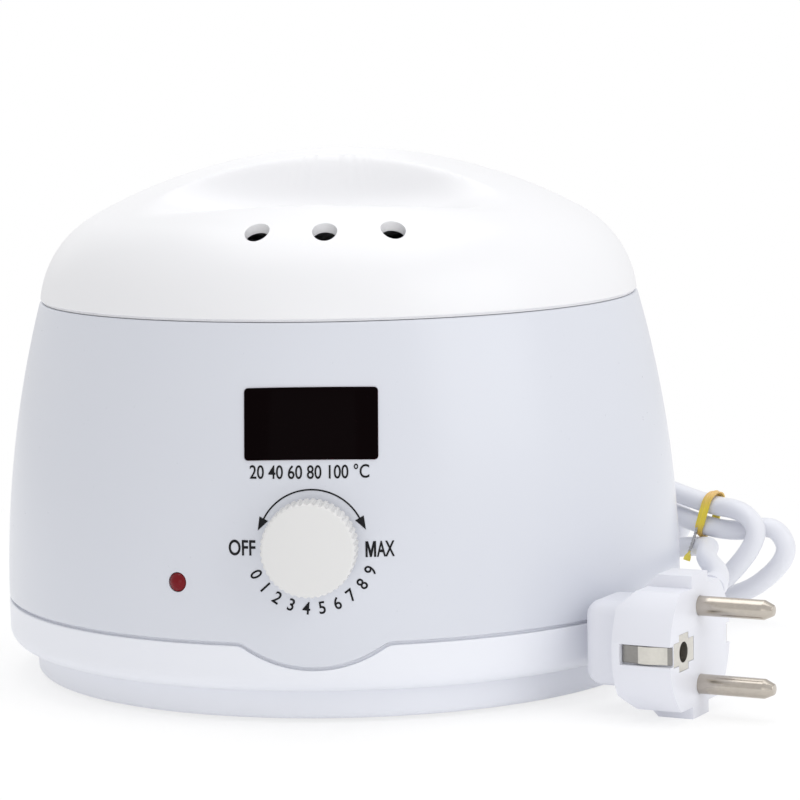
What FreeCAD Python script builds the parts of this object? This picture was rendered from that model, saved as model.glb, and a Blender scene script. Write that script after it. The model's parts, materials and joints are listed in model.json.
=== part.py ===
"""Countertop wax heater with a lift-out pot, domed lid, thermostat knob and a bundled mains lead.

The heater's axis is Z, its front faces -Y, and it stands on its four feet at Z = 0. Sizes are millimetres.
"""

import FreeCAD, Part
import math
import os
import re

import Sketcher
from FreeCAD import Placement, Rotation, Vector

SIZES = {
    # Heater body, from the table up
    "foot_drop": 1.0,
    "plinth_height": 7.5,
    "plinth_inset": 7.0,
    "plinth_round": 1.5,
    "ring_height": 11.5,
    "ring_round": 4.5,
    "body_radius": 87.5,
    "body_height": 75.5,
    "side_radius": 285.0,
    "wall": 2.8,
    "base_wall": 2.5,
    "seam_gap": 0.8,
    "lip_height": 3.2,
    "lip_wall": 2.0,
    "lap": 0.5,
    "tongue_radius": 29.5,
    # Rim that takes the lid's skirt, and the ledge under the bowl
    "rim_wall": 2.6,
    "rim_depth": 8.0,
    "ledge_width": 8.2,
    "ledge_wall": 3.0,
    # Lid
    "lid_gap": 0.6,
    "lid_rise": 37.3,
    "lid_corner": 27.0,
    "lid_corner_drop": 2.8,
    "lid_wall": 2.0,
    "skirt_depth": 4.3,
    "skirt_wall": 2.0,
    "scoop_radius": 18.0,
    "scoop_arc": 115.0,
    "scoop_offset": 36.0,
    "scoop_drop": 1.6,
    "vent_radius": 3.05,
    "vent_inset": 13.0,
    "vent_angle": 14.8,
    "vent_turn": 2.4,
    # Heating bowl and wax pot
    "bowl_gap": 2.5,
    "bowl_wall": 1.5,
    "bowl_depth": 58.3,
    "bowl_corner": 9.0,
    "bowl_flange_edge": 1.5,
    "pot_clearance": 0.9,
    "pot_seat_gap": 0.3,
    "pot_lift_gap": 0.5,
    "pot_wall": 1.2,
    "pot_rim_width": 5.2,
    "pot_rim_thickness": 1.5,
    "pot_tab_width": 24.0,
    "pot_tab_height": 4.0,
    "band_bottom": 8.0,
    "band_height": 22.0,
    "band_thickness": 2.2,
    "band_slit": 4.0,
    "band_ear": 8.5,
    "contact_gap": 0.1,
    # Fasteners
    "post_radius": 4.5,
    "post_inset": 15.0,
    "post_foot": 12.0,
    "screw_radius": 1.6,
    "screw_length": 19.0,
    "screw_head_radius": 3.1,
    "screw_head_height": 2.0,
    "screw_sink": 4.0,
    "thread_gap": 0.05,
    "foot_radius": 7.0,
    "foot_inset": 12.5,
    "foot_pocket": 1.5,
    "bowl_screw_gap": 1.1,
    "bowl_boss_wall": 1.6,
    "bowl_screw_radius": 1.3,
    "bowl_screw_head": 2.1,
    "bowl_screw_length": 8.0,
    # Thermostat and knob
    "knob_height": 44.5,
    "knob_radius": 11.3,
    "knob_depth": 9.8,
    "knob_crown": 0.8,
    "knob_round": 1.0,
    "knob_gap": 1.3,
    "knob_hollow": 9.4,
    "knob_hollow_depth": 3.4,
    "knob_teeth": 44,
    "knob_tooth_radius": 0.42,
    "thermostat_width": 24.0,
    "thermostat_height": 22.0,
    "thermostat_depth": 10.5,
    "thermostat_inset": 5.6,
    "bush_radius": 4.6,
    "bush_reach": 3.6,
    "nut_radius": 8.0,
    "nut_height": 2.4,
    "seat_radius": 9.2,
    "seat_depth": 0.7,
    "shaft_radius": 3.0,
    "shaft_length": 5.7,
    "shaft_gap": 0.3,
    # Display
    "display_height": 72.9,
    "display_width": 32.0,
    "display_tall": 17.3,
    "display_corner": 1.0,
    "display_proud": 0.35,
    "display_rim": 2.5,
    "display_rim_wall": 1.3,
    "fit_gap": 0.1,
    "digits_width": 28.0,
    "digits_tall": 13.5,
    "digits_depth": 6.4,
    "digits_inset": 6.2,
    "board_width": 52.0,
    "board_tall": 22.0,
    "board_thickness": 1.6,
    "board_screw_spread": 22.8,
    "board_boss_radius": 2.6,
    "board_screw_radius": 1.0,
    "board_screw_length": 4.0,
    # Indicator
    "lamp_height": 34.7,
    "lamp_angle": -22.3,
    "lamp_radius": 2.3,
    "lamp_proud": 0.7,
    "lamp_flange": 3.3,
    "lamp_flange_wall": 1.2,
    "lamp_body_radius": 2.7,
    "lamp_body_length": 8.0,
    # Mains entry inside the base
    "gland_height": 14.2,
    "gland_head": 4.4,
    "gland_head_length": 2.8,
    "gland_seat": 0.4,
    "gland_neck": 3.6,
    "gland_flange": 5.6,
    "gland_flange_length": 2.4,
    "gland_sleeve": 4.8,
    "gland_tip": 3.3,
    "gland_sleeve_length": 23.5,
    "cord_diameter": 5.4,
    "clamp_setback": 10.7,
    "clamp_width": 26.0,
    "clamp_depth": 8.0,
    "clamp_thickness": 3.0,
    "clamp_spread": 9.0,
    "clamp_screw_radius": 1.4,
    "clamp_screw_length": 11.0,
    "clamp_boss_radius": 3.2,
    "inner_cord_length": 14.0,
    "terminal_width": 34.0,
    "terminal_depth": 14.0,
    "terminal_height": 13.0,
    "terminal_setback": 23.0,
    "terminal_pitch": 10.0,
    "terminal_screw_radius": 1.7,
    "terminal_screw_depth": 4.0,
    "wire_radius": 0.9,
    # Safety cut-out and sensor under the bowl
    "fuse_radius": 2.2,
    "fuse_length": 14.0,
    "fuse_place": 12.0,
    "clip_width": 6.0,
    "clip_wall": 0.8,
    "clip_plate": 18.0,
    "probe_radius": 3.0,
    "probe_length": 6.0,
    "probe_place": -34.0,
    # Plug with two round pins and two side earth contacts
    "plug_x": 91.6,
    "plug_y": -73.5,
    "plug_turn": -23.6,
    "plug_radius": 18.5,
    "plug_flat": 14.3,
    "plug_key_reach": 17.3,
    "plug_rear_slope": 3.6,
    "plug_key_slope": 6.0,
    "plug_key_width": 9.6,
    "plug_front_length": 15.0,
    "plug_back_length": 12.0,
    "plug_back_width": 18.0,
    "plug_back_height": 21.0,
    "plug_back_round": 4.0,
    "pin_radius": 2.4,
    "pin_length": 19.0,
    "pin_tip": 2.4,
    "pin_tip_radius": 1.3,
    "pin_spacing": 19.0,
    "pin_root": 4.0,
    "pin_root_radius": 1.9,
    "earth_slot_width": 5.0,
    "earth_slot_depth": 2.2,
    "earth_slot_length": 13.0,
    "earth_clip_width": 4.4,
    "earth_clip_thickness": 1.2,
    "earth_clip_length": 12.0,
    "earth_hole_place": 10.0,
    "earth_hole_radius": 3.1,
    "earth_hole_depth": 9.0,
    "earth_sleeve_wall": 0.6,
    "earth_plate_width": 12.0,
    "earth_plate_height": 8.8,
    "earth_plate_arm": 5.6,
    "earth_plate_thickness": 0.8,
    "relief_start": 4.8,
    "relief_tip": 3.3,
    "relief_length": 24.0,
    "relief_rise": 14.0,
    "relief_place": 12.0,
    "relief_inset": 3.0,
    "relief_lift": 2.0,
    # Twist tie round the bundled lead
    "tie_width": 3.4,
    "tie_thickness": 0.7,
    "tie_slack": 0.6,
    "tie_tail_radius": 0.8,
}

doc = FreeCAD.newDocument("wax_heater")
sheet = doc.addObject("Spreadsheet::Sheet", "Sizes")
for row, (alias, number) in enumerate(SIZES.items(), 1):
    sheet.set(f"A{row}", alias)
    sheet.set(f"B{row}", str(number))
    sheet.setAlias(f"B{row}", alias)
doc.recompute()

NODES = []


def formula(text):
    """Point every size's name in a formula at its cell."""

    def cell(word):
        return "Sizes." + word.group() if word.group() in SIZES else word.group()

    return re.sub(r"[a-z_]+", cell, str(text))


def value(text):
    """Work out a formula as a number."""
    result = sheet.evalExpression(formula(text))
    return float(getattr(result, "Value", result))


def bind(thing, **formulas):
    """Bind properties to formulas; a double underscore stands for a dot."""
    for name, text in formulas.items():
        thing.setExpression(name.replace("__", "."), formula(text))
    return thing


def node(thing, label):
    """Name a finished sub-part."""
    thing.Label = label
    NODES.append(thing)
    return thing


# Sketches and solids of revolution


def arc_between(start, end, radius, turn):
    """The arc from start to end, counterclockwise where turn is 1 and clockwise where it is -1."""
    middle = (start + end) * 0.5
    half = (end - start).Length / 2
    across = Vector(-(end - start).y, (end - start).x, 0).normalize()
    centre = middle + across * (turn * math.sqrt(max(radius**2 - half**2, 0)))
    first, last = (start, end) if turn > 0 else (end, start)
    begin = math.atan2(first.y - centre.y, first.x - centre.x)
    finish = math.atan2(last.y - centre.y, last.x - centre.x)
    return Part.ArcOfCircle(Part.Circle(centre, Vector(0, 0, 1), radius), begin, finish)


def outline(body, plane, points):
    """Draw a closed outline; a point is (x, y), or (x, y, radius, turn) where an arc arrives at it."""
    drawing = body.newObject("Sketcher::SketchObject", body.Name + "_outline")
    support = next(item for item in body.Origin.OriginFeatures if item.Role == plane)
    drawing.AttachmentSupport = [(support, "")]
    drawing.MapMode = "FlatFace"
    spots = [Vector(value(point[0]), value(point[1]), 0) for point in points]
    ends = []
    for index, point in enumerate(points):
        start = spots[index - 1]
        end = spots[index]
        if len(point) == 2:
            drawing.addGeometry(Part.LineSegment(start, end), False)
            ends.append((1, 2))
        else:
            drawing.addGeometry(arc_between(start, end, value(point[2]), point[3]), False)
            ends.append((1, 2) if point[3] > 0 else (2, 1))
    for index, point in enumerate(points):
        following = (index + 1) % len(points)
        joint = Sketcher.Constraint("Coincident", index, ends[index][1], following, ends[following][0])
        drawing.addConstraint(joint)
        for kind, text, size in zip(("DistanceX", "DistanceY"), point[:2], spots[index]):
            number = drawing.addConstraint(Sketcher.Constraint(kind, -1, 1, index, ends[index][1], size))
            drawing.setExpression(f"Constraints[{number}]", formula(text))
        if len(point) > 2:
            number = drawing.addConstraint(Sketcher.Constraint("Radius", index, value(point[2])))
            drawing.setExpression(f"Constraints[{number}]", formula(point[2]))
    return drawing


def revolved(name, points, plane="XZ_Plane", axis="V_Axis"):
    """A body turned about the sketch's upright or level axis."""
    body = doc.addObject("PartDesign::Body", name)
    drawing = outline(body, plane, points)
    turn = body.newObject("PartDesign::Revolution", name + "_turn")
    turn.Profile = drawing
    turn.ReferenceAxis = (drawing, [axis])
    turn.Angle = 360
    return body


# Primitives and booleans


def box(name, size, corner, frame=None):
    """A box with its lowest corner at the given formulas, in a frame where one is given."""
    thing = doc.addObject("Part::Box", name)
    bind(thing, Length=size[0], Width=size[1], Height=size[2])
    return placed(thing, corner, frame)


def cylinder(name, radius, height, base, turn=Rotation(), frame=None):
    """A cylinder from its base point, along Z before the turn."""
    thing = doc.addObject("Part::Cylinder", name)
    bind(thing, Radius=radius, Height=height)
    return placed(thing, base, frame, turn)


def cone(name, first, last, height, base, turn=Rotation(), frame=None):
    """A cone from its base point, along Z before the turn."""
    thing = doc.addObject("Part::Cone", name)
    bind(thing, Radius1=first, Radius2=last, Height=height)
    return placed(thing, base, frame, turn)


def placed(thing, spot, frame=None, turn=Rotation()):
    """Put a primitive at a point given by formulas, or in a frame on the wall."""
    local = Placement(Vector(*[value(text) for text in spot]), turn)
    if frame is not None:
        thing.Placement = frame.multiply(local)
        return thing
    thing.Placement = local
    for letter, text in zip("xyz", spot):
        thing.setExpression(f"Placement.Base.{letter}", formula(text))
    return thing


def joined(name, *things):
    fusion = doc.addObject("Part::MultiFuse", name)
    fusion.Shapes = list(things)
    fusion.Refine = True
    return fusion


def cut(name, base, *tools):
    result = doc.addObject("Part::Cut", name)
    result.Base = base
    result.Tool = tools[0] if len(tools) == 1 else joined(name + "_tools", *tools)
    return result


def shared(name, *things):
    result = doc.addObject("Part::MultiCommon", name)
    result.Shapes = list(things)
    return result


def rounded_block(name, size, corner, radius, frame):
    """A box in a frame on the wall, with its four edges through the wall rounded."""
    plain = box(name + "_box", size, corner, frame)
    rounded = doc.addObject("Part::Fillet", name)
    rounded.Base = plain
    doc.recompute()
    out = frame.Rotation.multVec(Vector(0, 0, 1))
    through = [
        index
        for index, edge in enumerate(plain.Shape.Edges, 1)
        if abs(edge.tangentAt(edge.FirstParameter).dot(out)) > 0.99
    ]
    rounded.Edges = [(index, value(radius), value(radius)) for index in through]
    return rounded


def tube_ring(name, inner, outer, bottom, top):
    """A plain round ring about the heater's axis."""
    return revolved(name, [(inner, bottom), (outer, bottom), (outer, top), (inner, top)])


def ring_of(name, make, count, start=0.0):
    """Copies of one shape spread evenly about the heater's axis, as one group of solids."""
    solids = []
    for index in range(count):
        shape = make.copy()
        shape.rotate(Vector(), Vector(0, 0, 1), start + 360.0 * index / count)
        solids.append(shape)
    group = doc.addObject("Part::Feature", name)
    group.Shape = Part.makeCompound(solids)
    return group


def turned_solid(points):
    """A solid of revolution about Z from (radius, height) numbers joined by straight lines."""
    wire = Part.makePolygon([Vector(radius, 0, height) for radius, height in points + points[:1]])
    return Part.Face(wire).revolve(Vector(), Vector(0, 0, 1), 360)


ALONG_FRONT = Rotation(Vector(1, 0, 0), 90)
ALONG_BACK = Rotation(Vector(1, 0, 0), -90)
ALONG_RIGHT = Rotation(Vector(0, 1, 0), 90)
ALONG_LEFT = Rotation(Vector(0, 1, 0), -90)

# Levels and radii that several pieces share
PLINTH_Z = "foot_drop"
FLOOR_Z = "(foot_drop + base_wall)"
STEP_Z = "(foot_drop + plinth_height)"
SEAM_Z = f"({STEP_Z} + ring_height)"
SHELL_Z = f"({SEAM_Z} + seam_gap)"
RIM_Z = f"({SHELL_Z} + body_height)"
LEDGE_Z = f"({RIM_Z} - rim_depth)"
LEDGE_UNDER = f"({LEDGE_Z} - ledge_wall)"
LIP_OUT = "(body_radius - wall - lap)"
LIP_IN = f"({LIP_OUT} - lip_wall)"
PLINTH_R = "(body_radius - plinth_inset)"
POST_CIRCLE = "(body_radius - post_inset)"
FOOT_CIRCLE = f"({PLINTH_R} - foot_inset)"
CLAMP_Z = "(gland_height + cord_diameter / 2 + contact_gap)"
GLAND_IN = f"({LIP_IN} + gland_seat - contact_gap - gland_head_length)"
GLAND_OUT = "(body_radius + contact_gap)"
SLEEVE_START = f"({GLAND_OUT} + gland_flange_length)"
GLAND_END = f"({SLEEVE_START} + gland_sleeve_length)"
CLAMP_Y = f"({GLAND_IN} - clamp_setback)"
TERMINAL_Y = f"({CLAMP_Y} - terminal_setback)"
SHAFT_END = "(bush_reach + shaft_gap + shaft_length + contact_gap - knob_gap)"
BOARD_BACK = "(-digits_inset - digits_depth - contact_gap - board_thickness)"
LAMP_FLANGE = "(-wall - contact_gap * 2 - lamp_flange_wall)"
POST_ANGLES = (45, 135, 225, 315)
FOOT_ANGLES = (0, 90, 180, 270)
BOWL_SCREW_ANGLES = (90, 210, 330)


def side_at(level, offset="0"):
    """Radius of the housing's side at a level, moved outwards by an offset."""
    reach = f"(side_radius + {offset})"
    return f"(body_radius - side_radius + sqrt({reach} ^ 2 - ({level} - {SHELL_Z}) ^ 2))"


RIM_R = side_at(RIM_Z)
RIM_IN = f"({RIM_R} - rim_wall)"

# The bowl hangs in the ledge, the pot hangs in the bowl, and the bowl's screws stand outside the pot's rim
LEDGE_R = f"({RIM_IN} - ledge_width)"
BOWL_R = f"({LEDGE_R} - bowl_gap - bowl_wall)"
POT_OUT = f"({BOWL_R} - pot_clearance)"
POT_RIM_R = f"({POT_OUT} + pot_rim_width)"
BOWL_SCREW_CIRCLE = f"({POT_RIM_R} + bowl_screw_gap + bowl_screw_head)"
FLANGE_R = f"({BOWL_SCREW_CIRCLE} + bowl_flange_edge)"


def side_shell(name, inner, outer, bottom, top):
    """A slice of the housing's curved side between two offsets and two levels."""
    return revolved(
        name,
        [
            (side_at(bottom, outer), bottom),
            (side_at(top, outer), top, f"side_radius + {outer}", 1),
            (side_at(top, inner), top),
            (side_at(bottom, inner), bottom, f"side_radius + {inner}", -1),
        ],
    )


def wall_frame(level, angle=0.0, upright=False):
    """The frame on the housing's side at a level: Z points outwards, Y up the wall and X to the right."""
    radius = value(side_at(level))
    lean = 0.0 if upright else math.asin((value(level) - value(SHELL_Z)) / value("side_radius"))
    around = math.radians(angle)
    level_out = Vector(math.sin(around), -math.cos(around), 0)
    across = Vector(math.cos(around), math.sin(around), 0)
    out = level_out * math.cos(lean) + Vector(0, 0, math.sin(lean))
    spot = level_out * radius + Vector(0, 0, value(level))
    return Placement(spot, Rotation(across, out.cross(across), out, "ZXY"))


DISPLAY_FRAME = wall_frame("display_height")
LAMP_FRAME = wall_frame("lamp_height", value("lamp_angle"))
KNOB_FRAME = wall_frame("knob_height", upright=True)

# Housing: one curved wall with a lid rim, a bowl ledge, screw posts and a rounded tongue below the knob


def make_housing():
    shell = revolved(
        "housing_shell",
        [
            (side_at(SHELL_Z), SHELL_Z),
            (side_at(RIM_Z), RIM_Z, "side_radius", 1),
            (RIM_IN, RIM_Z),
            (RIM_IN, LEDGE_Z),
            (LEDGE_R, LEDGE_Z),
            (LEDGE_R, LEDGE_UNDER),
            (side_at(LEDGE_UNDER, "-wall"), LEDGE_UNDER),
            (side_at(SHELL_Z, "-wall"), SHELL_Z, "side_radius - wall", -1),
        ],
    )
    tongue_disc = cylinder(
        "tongue_disc", "tongue_radius", "body_radius", ("0", "0", "knob_height"), ALONG_FRONT
    )
    tongue_ring = tube_ring(
        "tongue_ring", "body_radius - wall", "body_radius", f"{SEAM_Z} - ring_height + ring_round", SHELL_Z
    )
    tongue = shared("tongue", tongue_disc, tongue_ring)

    post_top = f"{LEDGE_Z} - ledge_wall / 2"
    post_height = f"{post_top} - post_foot"
    posts = [post_at(f"post_{angle}", angle, "post_radius", "post_foot + contact_gap", post_height)
             for angle in POST_ANGLES]
    post_bores = [
        post_at(f"post_bore_{angle}", angle, "screw_radius + thread_gap", "post_foot", "screw_length")
        for angle in POST_ANGLES
    ]
    bowl_bosses = [
        boss_at(f"bowl_boss_{angle}", angle, "bowl_screw_radius + bowl_boss_wall",
                f"{LEDGE_UNDER} - bowl_screw_length / 2", "bowl_screw_length / 2 + ledge_wall / 2")
        for angle in BOWL_SCREW_ANGLES
    ]
    bowl_bores = [
        boss_at(f"bowl_bore_{angle}", angle, "bowl_screw_radius + thread_gap",
                f"{LEDGE_UNDER} - bowl_screw_length", "bowl_screw_length * 2")
        for angle in BOWL_SCREW_ANGLES
    ]
    board_bosses = [
        cylinder(f"board_boss_{side}", "board_boss_radius", "digits_inset + digits_depth - wall",
                 (f"{side} * board_screw_spread", "0", "-digits_inset - digits_depth"), frame=DISPLAY_FRAME)
        for side in (-1, 1)
    ]
    board_bores = [
        cylinder(f"board_bore_{side}", "board_screw_radius + thread_gap", "board_screw_length",
                 (f"{side} * board_screw_spread", "0", "-digits_inset - digits_depth - contact_gap"),
                 frame=DISPLAY_FRAME)
        for side in (-1, 1)
    ]
    window = rounded_block(
        "window_opening",
        ("display_width", "display_tall", "wall * 6"),
        ("-display_width / 2", "-display_tall / 2", "-wall * 3"),
        "display_corner + fit_gap",
        DISPLAY_FRAME,
    )
    bush_hole = cylinder(
        "bush_hole", "bush_radius + fit_gap", "wall * 6", ("0", "0", "-wall * 3"), frame=KNOB_FRAME
    )
    seat = cylinder("nut_seat", "seat_radius", "wall * 2", ("0", "0", "-seat_depth"), frame=KNOB_FRAME)
    lamp_hole = cylinder(
        "lamp_hole", "lamp_radius + fit_gap", "wall * 4", ("0", "0", "-wall * 2"), frame=LAMP_FRAME
    )
    solid = joined("housing_solid", shell, tongue, *posts, *bowl_bosses, *board_bosses)
    openings = [window, bush_hole, seat, lamp_hole, *post_bores, *bowl_bores, *board_bores]
    return node(cut("housing_cut", solid, *openings), "housing")


def around(name, angle, circle, radius, bottom, height):
    """An upright cylinder on a circle about the heater's axis."""
    spot = (f"{circle} * cos({angle})", f"{circle} * sin({angle})", bottom)
    return cylinder(name, radius, height, spot)


def post_at(name, angle, radius, bottom, height):
    return around(name, angle, POST_CIRCLE, radius, bottom, height)


def boss_at(name, angle, radius, bottom, height):
    return around(name, angle, BOWL_SCREW_CIRCLE, radius, bottom, height)


# Base: the tray that closes the housing from below, with a plinth, a ring and a lap lip


def make_base():
    tray = revolved(
        "base_tray",
        [
            ("0", PLINTH_Z),
            (f"{PLINTH_R} - plinth_round", PLINTH_Z),
            (PLINTH_R, f"{PLINTH_Z} + plinth_round", "plinth_round", 1),
            (PLINTH_R, STEP_Z),
            ("body_radius - ring_round", STEP_Z),
            ("body_radius", f"{STEP_Z} + ring_round", "ring_round", 1),
            ("body_radius", SEAM_Z),
            (LIP_OUT, SEAM_Z),
            (LIP_OUT, f"{SEAM_Z} + lip_height"),
            (LIP_IN, f"{SEAM_Z} + lip_height"),
            (LIP_IN, f"{STEP_Z} + base_wall"),
            (f"{PLINTH_R} - base_wall", f"{STEP_Z} + base_wall"),
            (f"{PLINTH_R} - base_wall", FLOOR_Z),
            ("0", FLOOR_Z),
        ],
    )
    notch_disc = cylinder(
        "notch_disc", "tongue_radius + seam_gap", "body_radius * 2", ("0", "0", "knob_height"), ALONG_FRONT
    )
    notch_ring = tube_ring("notch_ring", LIP_OUT, "body_radius * 1.1", STEP_Z, f"{SEAM_Z} + lip_height")
    notch = shared("notch", notch_disc, notch_ring)

    bosses = [post_at(f"base_boss_{angle}", angle, "post_radius", PLINTH_Z, f"post_foot - {PLINTH_Z}")
              for angle in POST_ANGLES]
    bores = [post_at(f"base_bore_{angle}", angle, "screw_radius + fit_gap", "0", "post_foot * 2")
             for angle in POST_ANGLES]
    sinks = [post_at(f"base_sink_{angle}", angle, "screw_head_radius + fit_gap", "0",
                     f"{PLINTH_Z} + screw_sink") for angle in POST_ANGLES]
    pockets = [around(f"foot_pocket_{angle}", angle, FOOT_CIRCLE, "foot_radius + fit_gap", "0",
                      f"{PLINTH_Z} + foot_pocket") for angle in FOOT_ANGLES]
    gland_hole = cylinder(
        "gland_hole",
        "gland_neck + fit_gap",
        "body_radius",
        ("0", "body_radius / 2", "gland_height"),
        ALONG_BACK,
    )
    pocket_start = f"({PLINTH_R} - base_wall * 1.4)"
    gland_pocket = cylinder(
        "gland_pocket",
        "gland_head + fit_gap",
        f"{LIP_IN} + gland_seat - {pocket_start}",
        ("0", pocket_start, "gland_height"),
        ALONG_BACK,
    )
    saddle_height = f"gland_height - cord_diameter / 2 - contact_gap - {PLINTH_Z}"
    saddle = box(
        "cord_saddle",
        ("cord_diameter * 1.6", "clamp_depth", saddle_height),
        ("-cord_diameter * 0.8", f"{CLAMP_Y} - clamp_depth / 2", PLINTH_Z),
    )
    clamp_bosses = [
        cylinder(f"clamp_boss_{side}", "clamp_boss_radius", f"{CLAMP_Z} - contact_gap - {PLINTH_Z}",
                 (f"{side} * clamp_spread", CLAMP_Y, PLINTH_Z))
        for side in (-1, 1)
    ]
    clamp_bores = [
        cylinder(f"clamp_bore_{side}", "clamp_screw_radius + thread_gap", "clamp_screw_length",
                 (f"{side} * clamp_spread", CLAMP_Y, f"{CLAMP_Z} - clamp_screw_length + clamp_thickness"))
        for side in (-1, 1)
    ]
    solid = joined("base_solid", tray, saddle, *bosses, *clamp_bosses)
    openings = [notch, gland_hole, gland_pocket, *bores, *sinks, *pockets, *clamp_bores]
    return node(cut("base_cut", solid, *openings), "base")


def make_fixings():
    head = value(f"{PLINTH_Z} + screw_sink")
    radius = value("screw_radius")
    head_radius = value("screw_head_radius")
    head_under = head - value("screw_head_height")
    tip = head + value("screw_length")
    screw = turned_solid(
        [(0, head_under), (head_radius * 0.8, head_under), (head_radius, head), (radius, head),
         (radius, tip - radius), (0, tip)]
    )
    screw.translate(Vector(value(POST_CIRCLE), 0, 0))
    node(ring_of("base_screw_group", screw, len(POST_ANGLES), POST_ANGLES[0]), "base_screws")

    top = value(f"{PLINTH_Z} + foot_pocket")
    pad = value("foot_radius")
    foot = turned_solid([(0, 0), (pad - top / 3, 0), (pad, top / 3), (pad, top), (0, top)])
    foot.translate(Vector(value(FOOT_CIRCLE), 0, 0))
    node(ring_of("foot_group", foot, len(FOOT_ANGLES), FOOT_ANGLES[0]), "rubber_feet")


# Heating bowl with its band heater, cut-out and sensor

BOWL_TOP = f"({LEDGE_Z} + bowl_wall)"
BOWL_FLOOR = f"({LEDGE_Z} - bowl_depth)"


def make_bowl():
    outer = f"({BOWL_R} + bowl_wall)"
    bowl = revolved(
        "bowl_shell",
        [
            ("0", BOWL_FLOOR),
            (f"{outer} - bowl_corner - bowl_wall", BOWL_FLOOR),
            (outer, f"{BOWL_FLOOR} + bowl_corner + bowl_wall", "bowl_corner + bowl_wall", 1),
            (outer, LEDGE_Z),
            (FLANGE_R, LEDGE_Z),
            (FLANGE_R, BOWL_TOP),
            (BOWL_R, BOWL_TOP),
            (BOWL_R, f"{BOWL_FLOOR} + bowl_wall + bowl_corner"),
            (f"{BOWL_R} - bowl_corner", f"{BOWL_FLOOR} + bowl_wall", "bowl_corner", -1),
            ("0", f"{BOWL_FLOOR} + bowl_wall"),
        ],
    )
    holes = [boss_at(f"flange_hole_{angle}", angle, "bowl_screw_radius + fit_gap", LEDGE_UNDER,
                     "bowl_screw_length") for angle in BOWL_SCREW_ANGLES]
    node(cut("bowl_cut", bowl, *holes), "heating_bowl")

    under = value(BOWL_TOP)
    radius = value("bowl_screw_radius")
    head = value("bowl_screw_head")
    tip = under - value("bowl_screw_length")
    screw = turned_solid(
        [(0, tip), (radius, tip + radius), (radius, under), (head, under), (head * 0.7, under + head * 0.6),
         (0, under + head * 0.6)]
    )
    screw.translate(Vector(value(BOWL_SCREW_CIRCLE), 0, 0))
    node(ring_of("bowl_screw_group", screw, len(BOWL_SCREW_ANGLES), BOWL_SCREW_ANGLES[0]), "bowl_screws")


BAND_IN = f"({BOWL_R} + bowl_wall + contact_gap)"
BAND_OUT = f"({BAND_IN} + band_thickness)"
BAND_Z = f"({BOWL_FLOOR} + band_bottom + bowl_corner)"


def make_band():
    band = tube_ring("band_ring", BAND_IN, BAND_OUT, BAND_Z, f"{BAND_Z} + band_height")
    ears = [
        box(f"band_ear_{side}", ("band_thickness", "band_ear", "band_height / 2"),
            (f"{side} * (band_slit / 2 + band_thickness / 2) - band_thickness / 2",
             f"{BAND_OUT} - band_thickness / 2", f"{BAND_Z} + band_height / 4"))
        for side in (-1, 1)
    ]
    slit = box(
        "band_slit_gap",
        ("band_slit", "band_thickness * 4", "band_height * 1.2"),
        ("-band_slit / 2", f"{BAND_IN} - band_thickness", f"{BAND_Z} - band_height / 10"),
    )
    bolt_y = f"{BAND_OUT} + band_ear / 2"
    bolt_z = f"{BAND_Z} + band_height / 2"
    bolt_hole = cylinder(
        "bolt_hole",
        "screw_radius + fit_gap",
        "band_slit * 4",
        ("-band_slit * 2", bolt_y, bolt_z),
        ALONG_RIGHT,
    )
    band_solid = joined("band_solid", band, *ears)
    node(cut("band_cut", band_solid, slit, bolt_hole), "heater_band")

    grip = "(band_slit / 2 + band_thickness)"
    shank = cylinder(
        "bolt_shank",
        "screw_radius",
        f"{grip} * 2 + screw_head_height * 2",
        (f"-{grip} - screw_head_height", bolt_y, bolt_z),
        ALONG_RIGHT,
    )
    head = cylinder(
        "bolt_head",
        "screw_head_radius",
        "screw_head_height",
        (f"-{grip} - contact_gap", bolt_y, bolt_z),
        ALONG_LEFT,
    )
    nut = doc.addObject("Part::Prism", "bolt_nut")
    bind(nut, Circumradius="screw_head_radius", Height="screw_head_height")
    placed(nut, (f"{grip} + contact_gap", bolt_y, bolt_z), turn=ALONG_RIGHT)
    node(joined("band_bolt_solid", shank, head, nut), "band_bolt")


FUSE_Z = f"({BOWL_FLOOR} - clip_wall - fuse_radius - contact_gap)"


def make_cutout():
    plate_z = f"{BOWL_FLOOR} - clip_wall"
    fuse_z = FUSE_Z
    outer = "fuse_radius + contact_gap + clip_wall"
    plate = box(
        "clip_plate_box",
        ("clip_width", "clip_plate", "clip_wall"),
        ("-clip_width / 2", "fuse_place - clip_plate / 2", plate_z),
    )
    sleeve = cylinder(
        "clip_sleeve", outer, "clip_width", ("-clip_width / 2", "fuse_place", fuse_z), ALONG_RIGHT
    )
    bore = cylinder(
        "clip_bore",
        "fuse_radius + contact_gap",
        "clip_width * 2",
        ("-clip_width", "fuse_place", fuse_z),
        ALONG_RIGHT,
    )
    ceiling = box(
        "clip_ceiling",
        ("clip_width * 2", "clip_plate", "clip_wall * 3"),
        ("-clip_width", "fuse_place - clip_plate / 2", BOWL_FLOOR),
    )
    clip = joined("clip_solid", plate, sleeve)
    node(cut("clip_cut", clip, bore, ceiling), "fuse_clip")
    body = cylinder(
        "fuse_body", "fuse_radius", "fuse_length", ("-fuse_length / 2", "fuse_place", fuse_z), ALONG_RIGHT
    )
    leads = cylinder(
        "fuse_leads",
        "fuse_radius / 4",
        "fuse_length * 2",
        ("-fuse_length", "fuse_place", fuse_z),
        ALONG_RIGHT,
    )
    node(joined("fuse_solid", body, leads), "thermal_fuse")

    disc = cylinder(
        "probe_disc",
        "probe_radius * 1.6",
        "probe_length / 4",
        ("0", "probe_place", f"{BOWL_FLOOR} - probe_length / 4"),
    )
    stem = cylinder(
        "probe_stem",
        "probe_radius",
        "probe_length",
        ("0", "probe_place", f"{BOWL_FLOOR} - probe_length"),
    )
    node(joined("probe_solid", disc, stem), "temperature_probe")


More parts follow.
